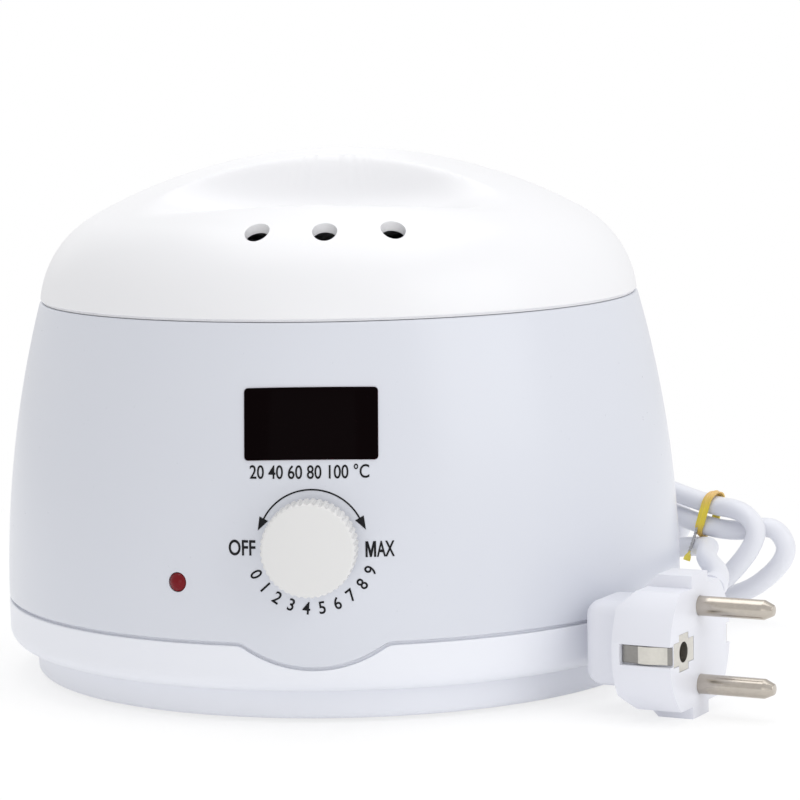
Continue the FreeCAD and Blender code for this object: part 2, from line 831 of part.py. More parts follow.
# Wax pot: a drawn cup with a flat rim and two turned-up lifting tabs

POT_IN = f"({POT_OUT} - pot_wall)"
POT_RIM = f"({BOWL_TOP} + pot_seat_gap)"
POT_FLOOR = f"({BOWL_FLOOR} + bowl_wall + pot_lift_gap)"


def make_pot():
    cup = revolved(
        "pot_cup",
        [
            ("0", POT_FLOOR),
            (f"{POT_OUT} - bowl_corner", POT_FLOOR),
            (POT_OUT, f"{POT_FLOOR} + bowl_corner", "bowl_corner", 1),
            (POT_OUT, POT_RIM),
            (POT_RIM_R, POT_RIM),
            (POT_RIM_R, f"{POT_RIM} + pot_rim_thickness"),
            (POT_IN, f"{POT_RIM} + pot_rim_thickness"),
            (POT_IN, f"{POT_FLOOR} + bowl_corner"),
            (f"{POT_IN} - bowl_corner + pot_wall", f"{POT_FLOOR} + pot_wall", "bowl_corner - pot_wall", -1),
            ("0", f"{POT_FLOOR} + pot_wall"),
        ],
    )
    tab_top = f"{POT_RIM} + pot_rim_thickness + pot_tab_height"
    tab_ring = tube_ring(
        "pot_tab_ring", f"{POT_RIM_R} - pot_rim_thickness", POT_RIM_R, POT_RIM, tab_top
    )
    tab_slab = box(
        "pot_tab_slab",
        (f"{POT_RIM_R} * 2.2", "pot_tab_width", "pot_tab_height * 4"),
        (f"-{POT_RIM_R} * 1.1", "-pot_tab_width / 2", POT_RIM),
    )
    tabs = shared("pot_tabs", tab_ring, tab_slab)
    return node(joined("pot_solid", cup, tabs), "wax_pot")


# Lid: a dome with a skirt, a hand scoop on each side of a grip ridge, and three steam vents

LID_Z = f"({RIM_Z} + lid_gap)"
LID_TOP = f"({LID_Z} + lid_rise)"
VENT_CIRCLE = f"({RIM_R} - vent_inset)"

# The crown's arc is the one that meets the corner's arc smoothly and reaches the lid's top
CORNER_X = f"({RIM_R} - lid_corner)"
CORNER_Z = f"({LID_Z} - lid_corner_drop)"
CORNER_HIGH = "(lid_rise + lid_corner_drop)"
CROWN_R = f"(({CORNER_X} ^ 2 + {CORNER_HIGH} ^ 2 - lid_corner ^ 2) / (2 * ({CORNER_HIGH} - lid_corner)))"
CROWN_Z = f"({LID_TOP} - {CROWN_R})"


def dome(name, inset, bottom):
    """The lid's dome as a full solid above a level, moved inwards by an inset."""
    blend = f"({CROWN_R} - {inset}) / ({CROWN_R} - lid_corner)"
    edge = f"({CORNER_X} + sqrt((lid_corner - {inset}) ^ 2 - ({bottom} - {CORNER_Z}) ^ 2))"
    meet = (f"{CORNER_X} * {blend}", f"{CROWN_Z} + ({CORNER_Z} - {CROWN_Z}) * {blend}")
    return revolved(
        name,
        [
            ("0", bottom),
            (edge, bottom),
            (*meet, f"lid_corner - {inset}", 1),
            ("0", f"{LID_TOP} - {inset}", f"{CROWN_R} - {inset}", 1),
        ],
    )


def scoop(name, grow, side):
    """A spindle across the lid that hollows one side of the grip ridge."""
    tall = f"(scoop_radius + {grow})"
    bend = f"(scoop_arc + {grow})"
    half = f"sqrt({bend} ^ 2 - ({bend} - {tall}) ^ 2)"
    spindle = revolved(name, [(half, "0"), (f"-{half}", "0", bend, 1)], "XY_Plane", "H_Axis")
    return placed(spindle, ("0", f"{side} * scoop_offset", f"{LID_TOP} - scoop_drop"))


def make_lid():
    inner_z = f"({LID_Z} + lid_wall)"
    skirt_out = f"({RIM_IN} - lap)"
    skirt_in = f"({skirt_out} - skirt_wall)"
    skin = dome("lid_dome", "0", LID_Z)
    hollow = dome("lid_hollow", "lid_wall", inner_z)
    scoops = [scoop(f"scoop_{side}", "0", side) for side in (-1, 1)]
    linings = [scoop(f"scoop_lining_{side + 1}", "lid_wall", side) for side in (-1, 1)]
    carved = cut("lid_carved", skin, *scoops)
    cavity = cut("lid_cavity", hollow, *linings)
    skirt = tube_ring("lid_skirt", skirt_in, skirt_out, f"{LID_Z} - skirt_depth", inner_z)
    mouth = cylinder("lid_mouth", skirt_in, "lid_wall * 2", ("0", "0", f"{LID_Z} - lid_wall"))
    vents = [
        cylinder(f"lid_vent_{index}", "vent_radius", "lid_rise / 2",
                 (f"{VENT_CIRCLE} * sin({index - 1} * vent_angle + vent_turn)",
                  f"-{VENT_CIRCLE} * cos({index - 1} * vent_angle + vent_turn)",
                  f"{LID_Z} + lid_rise / 4"))
        for index in range(3)
    ]
    solid = joined("lid_solid", carved, skirt)
    return node(cut("lid_cut", solid, cavity, mouth, *vents), "lid")


# Thermostat, shaft and knob on one level axis at the front


def make_thermostat():
    face = "-thermostat_inset"
    case = box(
        "thermostat_case",
        ("thermostat_width", "thermostat_height", "thermostat_depth"),
        ("-thermostat_width / 2", "-thermostat_height / 2", f"{face} - thermostat_depth"),
        KNOB_FRAME,
    )
    bush = cylinder(
        "thermostat_bush",
        "bush_radius",
        "thermostat_inset + bush_reach + contact_gap",
        ("0", "0", f"{face} - contact_gap"),
        frame=KNOB_FRAME,
    )
    node(joined("thermostat_solid", case, bush), "thermostat")

    nut = doc.addObject("Part::Prism", "thermostat_nut_hex")
    bind(nut, Circumradius="nut_radius", Height="nut_height")
    placed(nut, ("0", "0", "contact_gap - seat_depth"), KNOB_FRAME)
    bore = cylinder(
        "nut_bore",
        "bush_radius + thread_gap",
        "nut_height * 3",
        ("0", "0", "-nut_height"),
        frame=KNOB_FRAME,
    )
    node(cut("nut_cut", nut, bore), "thermostat_nut")

    shaft = cylinder(
        "shaft_rod", "shaft_radius", "shaft_length", ("0", "0", "bush_reach + shaft_gap"), frame=KNOB_FRAME
    )
    node(shaft, "thermostat_shaft")


def make_knob():
    crown = "((knob_radius - knob_round) ^ 2 + knob_crown ^ 2) / (2 * knob_crown)"
    rim = "(knob_depth - knob_crown)"
    body = revolved(
        "knob_body",
        [
            ("knob_hollow", "0"),
            ("knob_radius", "0"),
            ("knob_radius", f"{rim} - knob_round"),
            ("knob_radius - knob_round", rim, "knob_round", 1),
            ("0", "knob_depth", crown, 1),
            ("0", SHAFT_END),
            ("shaft_radius + thread_gap", SHAFT_END),
            ("shaft_radius + thread_gap", "knob_hollow_depth"),
            ("knob_hollow", "knob_hollow_depth"),
        ],
    )
    drawing = body.newObject("Sketcher::SketchObject", "knob_tooth")
    support = next(item for item in body.Origin.OriginFeatures if item.Role == "XY_Plane")
    drawing.AttachmentSupport = [(support, "")]
    drawing.MapMode = "FlatFace"
    drawing.addGeometry(
        Part.Circle(Vector(value("knob_radius"), 0, 0), Vector(0, 0, 1), value("knob_tooth_radius")), False
    )
    drawing.addConstraint(Sketcher.Constraint("PointOnObject", 0, 3, -1))
    reach = drawing.addConstraint(Sketcher.Constraint("DistanceX", -1, 1, 0, 3, value("knob_radius")))
    drawing.setExpression(f"Constraints[{reach}]", formula("knob_radius"))
    size = drawing.addConstraint(Sketcher.Constraint("Radius", 0, value("knob_tooth_radius")))
    drawing.setExpression(f"Constraints[{size}]", formula("knob_tooth_radius"))
    groove = body.newObject("PartDesign::Pocket", "knob_groove")
    groove.Profile = drawing
    groove.Type = "ThroughAll"
    groove.Reversed = True
    doc.recompute()
    pattern = body.newObject("PartDesign::PolarPattern", "knob_grooves")
    pattern.Originals = [groove]
    pattern.Axis = (drawing, ["N_Axis"])
    pattern.Angle = 360
    pattern.setExpression("Occurrences", formula("knob_teeth"))
    body.Tip = pattern
    body.Placement = KNOB_FRAME.multiply(Placement(Vector(0, 0, value("knob_gap")), Rotation()))
    return node(body, "knob")


# Display window, digit block and circuit board behind the front wall


def make_display():
    pane_block = rounded_block(
        "pane_block",
        ("display_width - fit_gap * 2", "display_tall - fit_gap * 2", "wall * 6"),
        ("fit_gap - display_width / 2", "fit_gap - display_tall / 2", "-wall * 4"),
        "display_corner",
        DISPLAY_FRAME,
    )
    rim_box = box(
        "pane_rim_box",
        ("display_width + display_rim * 2", "display_tall + display_rim * 2", "wall * 6"),
        ("-display_width / 2 - display_rim", "-display_tall / 2 - display_rim", "-wall * 5"),
        DISPLAY_FRAME,
    )
    low = "display_height - display_tall"
    high = "display_height + display_tall"
    back = "(-wall - contact_gap - display_rim_wall)"
    pane_shell = side_shell("pane_shell", back, "display_proud", low, high)
    rim_shell = side_shell("pane_rim_shell", back, "(-wall - contact_gap)", low, high)
    pane = shared("pane", pane_block, pane_shell)
    rim = shared("pane_rim", rim_box, rim_shell)
    node(joined("pane_solid", pane, rim), "display_window")

    digits = box(
        "digits_box",
        ("digits_width", "digits_tall", "digits_depth - contact_gap"),
        ("-digits_width / 2", "-digits_tall / 2", "contact_gap - digits_inset - digits_depth"),
        DISPLAY_FRAME,
    )
    node(digits, "display_digits")
    board = box(
        "board_box",
        ("board_width", "board_tall", "board_thickness"),
        ("-board_width / 2", "-board_tall / 2", BOARD_BACK),
        DISPLAY_FRAME,
    )
    holes = [
        cylinder(f"board_hole_{side}", "board_screw_radius + fit_gap", "board_thickness * 3",
                 (f"{side} * board_screw_spread", "0", f"{BOARD_BACK} - board_thickness"),
                 frame=DISPLAY_FRAME)
        for side in (-1, 1)
    ]
    node(cut("board_cut", board, *holes), "display_board")
    screws = []
    for side in (-1, 1):
        spot = (f"{side} * board_screw_spread", "0", BOARD_BACK)
        shank = cylinder(f"board_screw_shank_{side}", "board_screw_radius",
                         "board_thickness + board_screw_length * 0.8", spot, frame=DISPLAY_FRAME)
        head = cylinder(f"board_screw_head_{side}", "board_screw_radius * 2", "board_screw_radius * 1.2",
                        (*spot[:2], f"{BOARD_BACK} - contact_gap - board_screw_radius * 1.2"),
                        frame=DISPLAY_FRAME)
        neck = cylinder(f"board_screw_neck_{side}", "board_screw_radius", "board_screw_radius",
                        (*spot[:2], f"{BOARD_BACK} - board_screw_radius"), frame=DISPLAY_FRAME)
        screws.append(joined(f"board_screw_{side}", shank, head, neck))
    group = doc.addObject("Part::Compound", "board_screw_group")
    group.Links = screws
    node(group, "board_screws")


def make_indicator():
    stem = cylinder(
        "lamp_stem",
        "lamp_radius",
        "wall + lamp_flange_wall / 2 + lamp_proud / 2",
        ("0", "0", "-wall - lamp_flange_wall / 2"),
        frame=LAMP_FRAME,
    )
    cap = doc.addObject("Part::Sphere", "lamp_cap")
    bind(cap, Radius="(lamp_radius ^ 2 + lamp_proud ^ 2 / 4) / lamp_proud")
    placed(cap, ("0", "0", "lamp_proud - (lamp_radius ^ 2 + lamp_proud ^ 2 / 4) / lamp_proud"), LAMP_FRAME)
    cap_core = cylinder(
        "lamp_cap_core", "lamp_radius", "lamp_proud * 2", ("0", "0", "lamp_proud / 2"), frame=LAMP_FRAME
    )
    flange = cylinder(
        "lamp_flange_disc",
        "lamp_flange",
        "lamp_flange_wall",
        ("0", "0", LAMP_FLANGE),
        frame=LAMP_FRAME,
    )
    node(joined("lamp_lens_solid", stem, shared("lamp_crown", cap, cap_core), flange), "indicator_lens")
    bulb = cylinder(
        "lamp_bulb",
        "lamp_body_radius",
        "lamp_body_length",
        ("0", "0", f"{LAMP_FLANGE} - contact_gap - lamp_body_length"),
        frame=LAMP_FRAME,
    )
    collar = cylinder(
        "lamp_collar",
        "lamp_flange",
        "lamp_body_length / 5",
        ("0", "0", f"{LAMP_FLANGE} - contact_gap - lamp_body_length / 5"),
        frame=LAMP_FRAME,
    )
    node(joined("lamp_solid", bulb, collar), "indicator_lamp")


# Mains entry: strain relief, cord clamp, terminal block and the wires between them


def make_mains_entry():
    gland = revolved(
        "gland_body",
        [
            ("0", GLAND_IN),
            ("gland_head", GLAND_IN),
            ("gland_head", f"{GLAND_IN} + gland_head_length"),
            ("gland_neck", f"{GLAND_IN} + gland_head_length"),
            ("gland_neck", GLAND_OUT),
            ("gland_flange", GLAND_OUT),
            ("gland_flange", SLEEVE_START),
            ("gland_sleeve", SLEEVE_START),
            ("gland_tip", GLAND_END),
            ("0", GLAND_END),
        ],
        "XY_Plane",
    )
    node(placed(gland, ("0", "0", "gland_height")), "cord_gland")

    inner = cylinder(
        "inner_cord_tube",
        "cord_diameter / 2",
        "inner_cord_length",
        ("0", f"{GLAND_IN} - inner_cord_length", "gland_height"),
        ALONG_BACK,
    )
    node(inner, "inner_cord")

    bar = box(
        "clamp_bar",
        ("clamp_width", "clamp_depth", "clamp_thickness"),
        ("-clamp_width / 2", f"{CLAMP_Y} - clamp_depth / 2", CLAMP_Z),
    )
    holes = [
        cylinder(f"clamp_hole_{side}", "clamp_screw_radius + fit_gap", "clamp_thickness * 3",
                 (f"{side} * clamp_spread", CLAMP_Y, f"{CLAMP_Z} - clamp_thickness"))
        for side in (-1, 1)
    ]
    node(cut("clamp_cut", bar, *holes), "cord_clamp")
    screws = []
    for side in (-1, 1):
        top = f"{CLAMP_Z} + clamp_thickness"
        spot = (f"{side} * clamp_spread", CLAMP_Y)
        shank = cylinder(f"clamp_shank_{side}", "clamp_screw_radius",
                         "clamp_screw_length * 0.9 + contact_gap",
                         (*spot, f"{top} - clamp_screw_length * 0.9"))
        head = cylinder(f"clamp_head_{side}", "clamp_screw_radius * 1.9", "clamp_screw_radius",
                        (*spot, f"{top} + contact_gap"))
        screws.append(joined(f"clamp_screw_{side}", shank, head))
    group = doc.addObject("Part::Compound", "clamp_screw_group")
    group.Links = screws
    node(group, "clamp_screws")

    block = box(
        "terminal_body",
        ("terminal_width", "terminal_depth", "terminal_height"),
        ("-terminal_width / 2", f"{TERMINAL_Y} - terminal_depth / 2", f"{FLOOR_Z} + contact_gap"),
    )
    wells = []
    plugs = []
    top = f"({FLOOR_Z} + contact_gap + terminal_height)"
    for column in (-1, 0, 1):
        for side in (-1, 1):
            spot = (f"{column} * terminal_pitch", f"{TERMINAL_Y} + {side} * terminal_depth / 4")
            name = f"terminal_{column + 1}_{side + 1}"
            wells.append(cylinder(name + "_well", "terminal_screw_radius + contact_gap", "terminal_height",
                                  (*spot, f"{top} - terminal_screw_depth - contact_gap")))
            plugs.append(cylinder(name + "_screw", "terminal_screw_radius", "terminal_screw_depth * 0.7",
                                  (*spot, f"{top} - terminal_screw_depth")))
    node(cut("terminal_cut", block, *wells), "terminal_block")
    group = doc.addObject("Part::Compound", "terminal_screw_group")
    group.Links = plugs
    node(group, "terminal_screws")


# Routes: straight runs joined by tangent arcs, as large as the runs allow


def route_wire(points, name):
    """A wire through the points, with its corners rounded by 0.45 of the shorter run."""
    share = 0.45
    edges = []
    radii = []
    last = points[0]
    for before, corner, after in zip(points, points[1:], points[2:]):
        arriving = (corner - before).normalize()
        leaving = (after - corner).normalize()
        trim = share * min((corner - before).Length, (after - corner).Length)
        bend = arriving.getAngle(leaving)
        start = corner - arriving * trim
        end = corner + leaving * trim
        radius = trim / math.tan(bend / 2)
        inward = (leaving - arriving).normalize()
        middle = corner + inward * (radius / math.cos(bend / 2) - radius)
        edges.append(Part.LineSegment(last, start).toShape())
        edges.append(Part.Arc(start, middle, end).toShape())
        radii.append(round(radius, 1))
        last = end
    edges.append(Part.LineSegment(last, points[-1]).toShape())
    print(name, "bend radii", radii)
    return Part.Wire(edges)


def route_tube(points, radius, name):
    """A round tube along a route."""
    wire = route_wire(points, name)
    start = (points[1] - points[0]).normalize()
    section = Part.Wire([Part.makeCircle(radius, points[0], start)])
    tube = wire.makePipeShell([section], True, False)
    plain = math.pi * radius**2 * wire.Length
    print(name, "length", round(wire.Length, 1), "volume share", round(tube.Volume / plain, 4))
    return tube, wire


def make_wiring():
    """Single wires from the terminal block to the thermostat, cut-out, band heater, sensor and lamp."""
    thin = value("wire_radius")
    touch = value("contact_gap")
    floor = value(FLOOR_Z) + thin + touch
    pitch = value("terminal_pitch")
    block_front = value(f"{TERMINAL_Y} - terminal_depth / 2 - contact_gap")
    block_back = value(f"{TERMINAL_Y} + terminal_depth / 2 + contact_gap")
    wire_z = value(f"{FLOOR_Z} + terminal_height / 2")
    cord_end = value(f"{GLAND_IN} - inner_cord_length - contact_gap")
    cord_z = value("gland_height")
    spacing = thin * 2 + touch
    case_y = -value(side_at("knob_height")) + value("thermostat_inset + thermostat_depth / 2")
    case_low = value("knob_height - thermostat_height / 2 - contact_gap")
    case_left = -value("thermostat_width / 2 + contact_gap")
    band_z = value(f"{BAND_Z} - contact_gap")
    band_r = value(f"{BAND_IN} + band_thickness / 2")
    fuse = Vector(value("fuse_length + contact_gap"), value("fuse_place"), value(FUSE_Z))
    probe = Vector(0, value("probe_place"), value(f"{BOWL_FLOOR} - probe_length - contact_gap"))
    lamp_back = value(f"{LAMP_FLANGE} - contact_gap * 2 - lamp_body_length")
    board_low = value("board_tall / 2 + contact_gap")
    board_mid = value(f"{BOARD_BACK} + board_thickness / 2")

    reach = block_front - case_y
    beside = value("thermostat_width / 2") + 6.5

    def flipped(spot):
        return Vector(-spot.x, spot.y, spot.z)

    def by_bowl(radius, angle, height):
        return Vector(radius * math.sin(angle), radius * math.cos(angle), height)

    cores = [
        [
            Vector(side * spacing, cord_end, cord_z),
            Vector(side * spacing, cord_end - 3.5, cord_z),
            Vector(side * pitch, block_back + 3.5, wire_z),
            Vector(side * pitch, block_back, wire_z),
        ]
        for side in (-1, 0, 1)
    ]
    live = [
        Vector(-pitch, block_front, wire_z),
        Vector(-pitch, block_front - 5, wire_z),
        Vector(-pitch - 2, block_front - reach * 0.13, floor + 1),
        Vector(-pitch - 6, block_front - reach * 0.29, floor),
        Vector(-pitch - 8, block_front - reach * 0.48, floor),
        Vector(-pitch - 5, block_front - reach * 0.67, floor + 0.5),
        Vector(-9, case_y + 19, floor + 2),
        Vector(-6, case_y + 5, floor + 8),
        Vector(-6, case_y, floor + 16),
        Vector(-6, case_y, case_low),
    ]
    switched = [
        Vector(6, case_y, case_low),
        Vector(6, case_y, case_low - 7),
        Vector(10, case_y + 10, case_low - 14),
        Vector(18, case_y + 28, case_low - 17),
        Vector(26, fuse.y - 40, fuse.z - 10),
        Vector(30, fuse.y - 20, fuse.z - 8),
        Vector(27, fuse.y - 4, fuse.z - 3),
        fuse + Vector(7, 0, 0),
        fuse,
    ]
    rise = [
        by_bowl(band_r - 3.6, 0.624, fuse.z - 4),
        by_bowl(band_r + 5.5, 0.486, band_z - 14),
        by_bowl(band_r, 0.45, band_z - 6),
        by_bowl(band_r, 0.45, band_z),
    ]
    neutral = [
        Vector(pitch, block_front, wire_z),
        Vector(pitch, block_front - 6, wire_z),
        Vector(pitch + 12, block_front - 13, wire_z + 2),
        Vector(pitch + 24, block_front - 5, wire_z + 7),
        *rise,
    ]
    heater = [
        flipped(fuse),
        flipped(fuse + Vector(5, 0, 0)),
        flipped(fuse + Vector(13, 6, -4)),
        flipped(fuse + Vector(21, 22, -5)),
        *[flipped(spot) for spot in rise],
    ]
    sensor = [
        probe,
        probe + Vector(0, 0, -5),
        probe + Vector(3, -8, -12),
        probe + Vector(12, -24, -13),
        Vector(beside, case_y + 5, floor + 11),
        Vector(beside, case_y + 1, floor + 23),
        Vector(beside, case_y + 1.4, floor + 37),
        DISPLAY_FRAME.multVec(Vector(beside, -board_low - 6, board_mid)),
        DISPLAY_FRAME.multVec(Vector(beside, -board_low, board_mid)),
    ]
    lamp = [
        LAMP_FRAME.multVec(Vector(0, 0, lamp_back)),
        LAMP_FRAME.multVec(Vector(0, 0, lamp_back - 4)),
        Vector(case_left - 8, case_y + 7, case_low + 3),
        Vector(case_left - 5, case_y, case_low + 8),
        Vector(case_left, case_y, case_low + 8),
    ]
    tubes = []
    for index, points in enumerate([*cores, live, switched, neutral, heater, sensor, lamp]):
        tubes.append(route_tube(points, thin, f"wire {index}")[0])
    wires = doc.addObject("Part::Feature", "wiring_group")
    wires.Shape = Part.makeCompound(tubes)
    node(wires, "wiring")


# Mains lead: it leaves the rear, is folded into a tied hank beside the heater and ends at the plug

HANK_ANGLE = math.radians(-40.0)
HANK_ALONG = Vector(math.cos(HANK_ANGLE), math.sin(HANK_ANGLE), 0)
HANK_OUT = Vector(-math.sin(HANK_ANGLE), math.cos(HANK_ANGLE), 0)
TIE_ALONG = 38.0
CORD_R = value("cord_diameter / 2")
CORD_REST = CORD_R + 0.05

# Each turn's distance from the axis, right-hand reach, height there, left-hand reach and height there,
# and the place of its upper run under the tie
HANK_TURNS = [
    {"out": 122.0, "right": 16.0, "tip": 21.0, "left": -30.0, "top": 31.0, "waist": None},
    {"out": 108.3, "right": 66.0, "tip": 20.0, "left": -44.0, "top": 32.5, "waist": (104.4, 28), "sag": 26},
    {"out": 101.4, "right": 58.5, "tip": 25.0, "left": -48.0, "top": 38.5, "waist": (101.4, 34.4)},
]
TAIL_OUT = 94.8


def hank_spot(along, out, height):
    return HANK_ALONG * along + HANK_OUT * out + Vector(0, 0, height)


def hank_points():
    """Round the hank: along the table, up at the right, back over the top and down at the left."""
    points = []
    for index, turn in enumerate(HANK_TURNS):
        out = turn["out"]
        right = turn["right"]
        left = turn["left"]
        tip = turn["tip"]
        top = turn["top"]
        inner = HANK_TURNS[index + 1]["out"] if index + 1 < len(HANK_TURNS) else TAIL_OUT
        step = out - inner
        points.append(hank_spot(right - 23.0, out, CORD_REST))
        points.append(hank_spot(right, out, tip - 0.8))
        points.append(hank_spot(right - 5.0, out, tip + 8.6))
        if "sag" in turn:
            sag_along = (right + TIE_ALONG) / 2 - 2.0
            points.append(hank_spot(sag_along, (out + turn["waist"][0]) / 2, turn["sag"]))
        if turn["waist"]:
            points.append(hank_spot(TIE_ALONG, *turn["waist"]))
            points.append(hank_spot(TIE_ALONG - 30.0, out, (turn["waist"][1] + top) / 2 + 0.6))
        points.append(hank_spot(left + 14.0, out, top))
        points.append(hank_spot(left, out - step * 0.35, top - 10.0))
        points.append(hank_spot(left, out - step * 0.7, CORD_REST + 10.0))
        points.append(hank_spot(left + 12.0, inner + step * 0.1, CORD_REST))
    return points


HANK_POINTS = hank_points()

LEAD_POINTS = [
    Vector(0, value(GLAND_END), value("gland_height")),
    Vector(0, 128.0, value("gland_height")),
    Vector(6.6, 140.9, 11.0),
    Vector(18.3, 149.4, 6.4),
    Vector(32.6, 151.7, 3.4),
    Vector(46.4, 147.2, CORD_REST),
    Vector(56.6, 136.9, CORD_REST),
]

PLUG_TURN = Rotation(Vector(0, 0, 1), value("plug_turn"))
PLUG_FRAME = Placement(Vector(value("plug_x"), value("plug_y"), value("plug_key_reach")), PLUG_TURN)
RELIEF_LEAN = math.radians(value("relief_rise"))
RELIEF_AXIS = Vector(0, math.cos(RELIEF_LEAN), math.sin(RELIEF_LEAN))
RELIEF_END = PLUG_FRAME.multVec(
    Vector(-value("relief_place"), value("plug_radius - relief_inset"), value("relief_lift"))
    + RELIEF_AXIS * value("relief_length")
)


def least_gap(wire, radius):
    """The least gap of a tube to itself, on points along its line that are far apart along it."""
    step = 1.0
    spots = wire.discretize(Distance=step)
    apart = int(radius * 8 / step)
    nearest = min(
        spots[first].distanceToPoint(spots[second])
        for first in range(0, len(spots), 2)
        for second in range(first + apart, len(spots))
    )
    return nearest - 2 * radius


def lead_routes():
    """The points of the stretch behind the heater, of the hank and of the stretch to the plug."""
    first_run = (HANK_POINTS[0] - LEAD_POINTS[-1]).normalize()
    hank_start = LEAD_POINTS[-1] + first_run * 14.0
    low_run = (hank_spot(TIE_ALONG - 34.0, TAIL_OUT, 10.0) - HANK_POINTS[-1]).normalize()
    hank_end = HANK_POINTS[-1] + low_run * 12.0
    tail = [
        hank_end,
        hank_end + low_run * 12.0,
        hank_spot(-4.0, TAIL_OUT + 2.0, 9.5),
        hank_spot(13.0, 100.0, 15.0),
        hank_spot(28.0, 100.6, 20.0),
        hank_spot(46.0, 94.4, 24.4),
        Vector(97.4, 23.0, 26.6),
        Vector(99.2, 6.5, 28.2),
        Vector(99.7, -10.0, 28.9),
        RELIEF_END + PLUG_TURN.multVec(RELIEF_AXIS) * 10.0,
        RELIEF_END,
    ]
    return [*LEAD_POINTS, hank_start], [hank_start, *HANK_POINTS, hank_end], tail


def make_lead():
    wires = []
    for points, label in zip(lead_routes(), ("cord_lead", "cord_hank", "cord_tail")):
        tube, wire = route_tube(points, CORD_R, label)
        print(label, "least gap to itself", round(least_gap(wire, CORD_R), 2))
        stretch = doc.addObject("Part::Feature", label + "_tube")
        stretch.Shape = tube
        node(stretch, label)
        wires.append(wire)
    return wires


def crossings(wires, along):
    """Where the raised runs of the lead cross one upright plane of the hank, as (out, height)."""
    corner = hank_spot(along, 60.0, CORD_REST * 4)
    slice_face = Part.makePlane(90.0, 60.0, corner, HANK_ALONG, HANK_OUT)
    spots = []
    for wire in wires:
        for vertex in wire.section(slice_face).Vertexes:
            spots.append((vertex.Point.dot(HANK_OUT), vertex.Point.z))
    return spots


def make_tie(wires):
    """A flat strip drawn round the three runs at the hank's waist, with its twisted end hanging free."""
    width = value("tie_width")
    runs = crossings(wires, TIE_ALONG - width / 2) + crossings(wires, TIE_ALONG + width / 2)
    middle = [sum(run[axis] for run in runs) / len(runs) for axis in (0, 1)]
    runs.sort(key=lambda run: math.atan2(run[1] - middle[1], run[0] - middle[0]))
    slack = CORD_R + value("tie_slack")
    thickness = value("tie_thickness")
    corners = [hank_spot(TIE_ALONG - width / 2, *run) for run in runs]
    polygon = Part.makePolygon([*corners, corners[0]])
    inner = Part.Face(polygon.makeOffset2D(slack))
    outer = Part.Face(polygon.makeOffset2D(slack + thickness))
    loop = outer.cut(inner).extrude(HANK_ALONG * width)
    low = min(runs, key=lambda run: run[1])
    knot = hank_spot(TIE_ALONG, low[0] - slack - value("tie_tail_radius"), low[1])
    end = [
        knot,
        knot + HANK_ALONG * -2.5 - HANK_OUT * 1.2 + Vector(0, 0, -3.0),
        knot + HANK_ALONG * -6.0 - HANK_OUT * 1.6 + Vector(0, 0, -8.0),
    ]
    twist = route_tube(end, value("tie_tail_radius"), "tie end")[0]
    strip = doc.addObject("Part::Feature", "tie_strip")
    strip.Shape = loop.fuse(twist).removeSplitter()
    node(strip, "twist_tie")


# Plug: a moulded grip with two pins, two side earth contacts and a hole for a socket's earth pin


def earth_plate(name, grow, thickness, bottom):
    """The two crossed arms of the plate round the earth hole, made larger by an amount."""
    arms = (("earth_plate_width", "earth_plate_arm"), ("earth_plate_arm", "earth_plate_height"))
    return [
        box(f"{name}_{index}", (thickness, f"{across} + 2 * {grow}", f"{up} + 2 * {grow}"),
            (bottom, f"-earth_hole_place - {across} / 2 - {grow}", f"-{up} / 2 - {grow}"), PLUG_FRAME)
        for index, (across, up) in enumerate(arms)
    ]


def sloped_rear(name, base, slope):
    """A block of the plug with a sloping rear at its top and its underside."""
    result = doc.addObject("Part::Chamfer", name)
    result.Base = base
    doc.recompute()
    middle = base.Shape.CenterOfMass
    forward = PLUG_TURN.multVec(Vector(1, 0, 0))
    sideways = PLUG_TURN.multVec(Vector(0, 1, 0))
    rear = [
        index
        for index, edge in enumerate(base.Shape.Edges, 1)
        if abs(edge.tangentAt(edge.FirstParameter).dot(sideways)) > 0.99
        and (edge.CenterOfMass - middle).dot(forward) < 0
    ]
    result.Edges = [(index, value(slope), value(slope)) for index in rear]
    return result


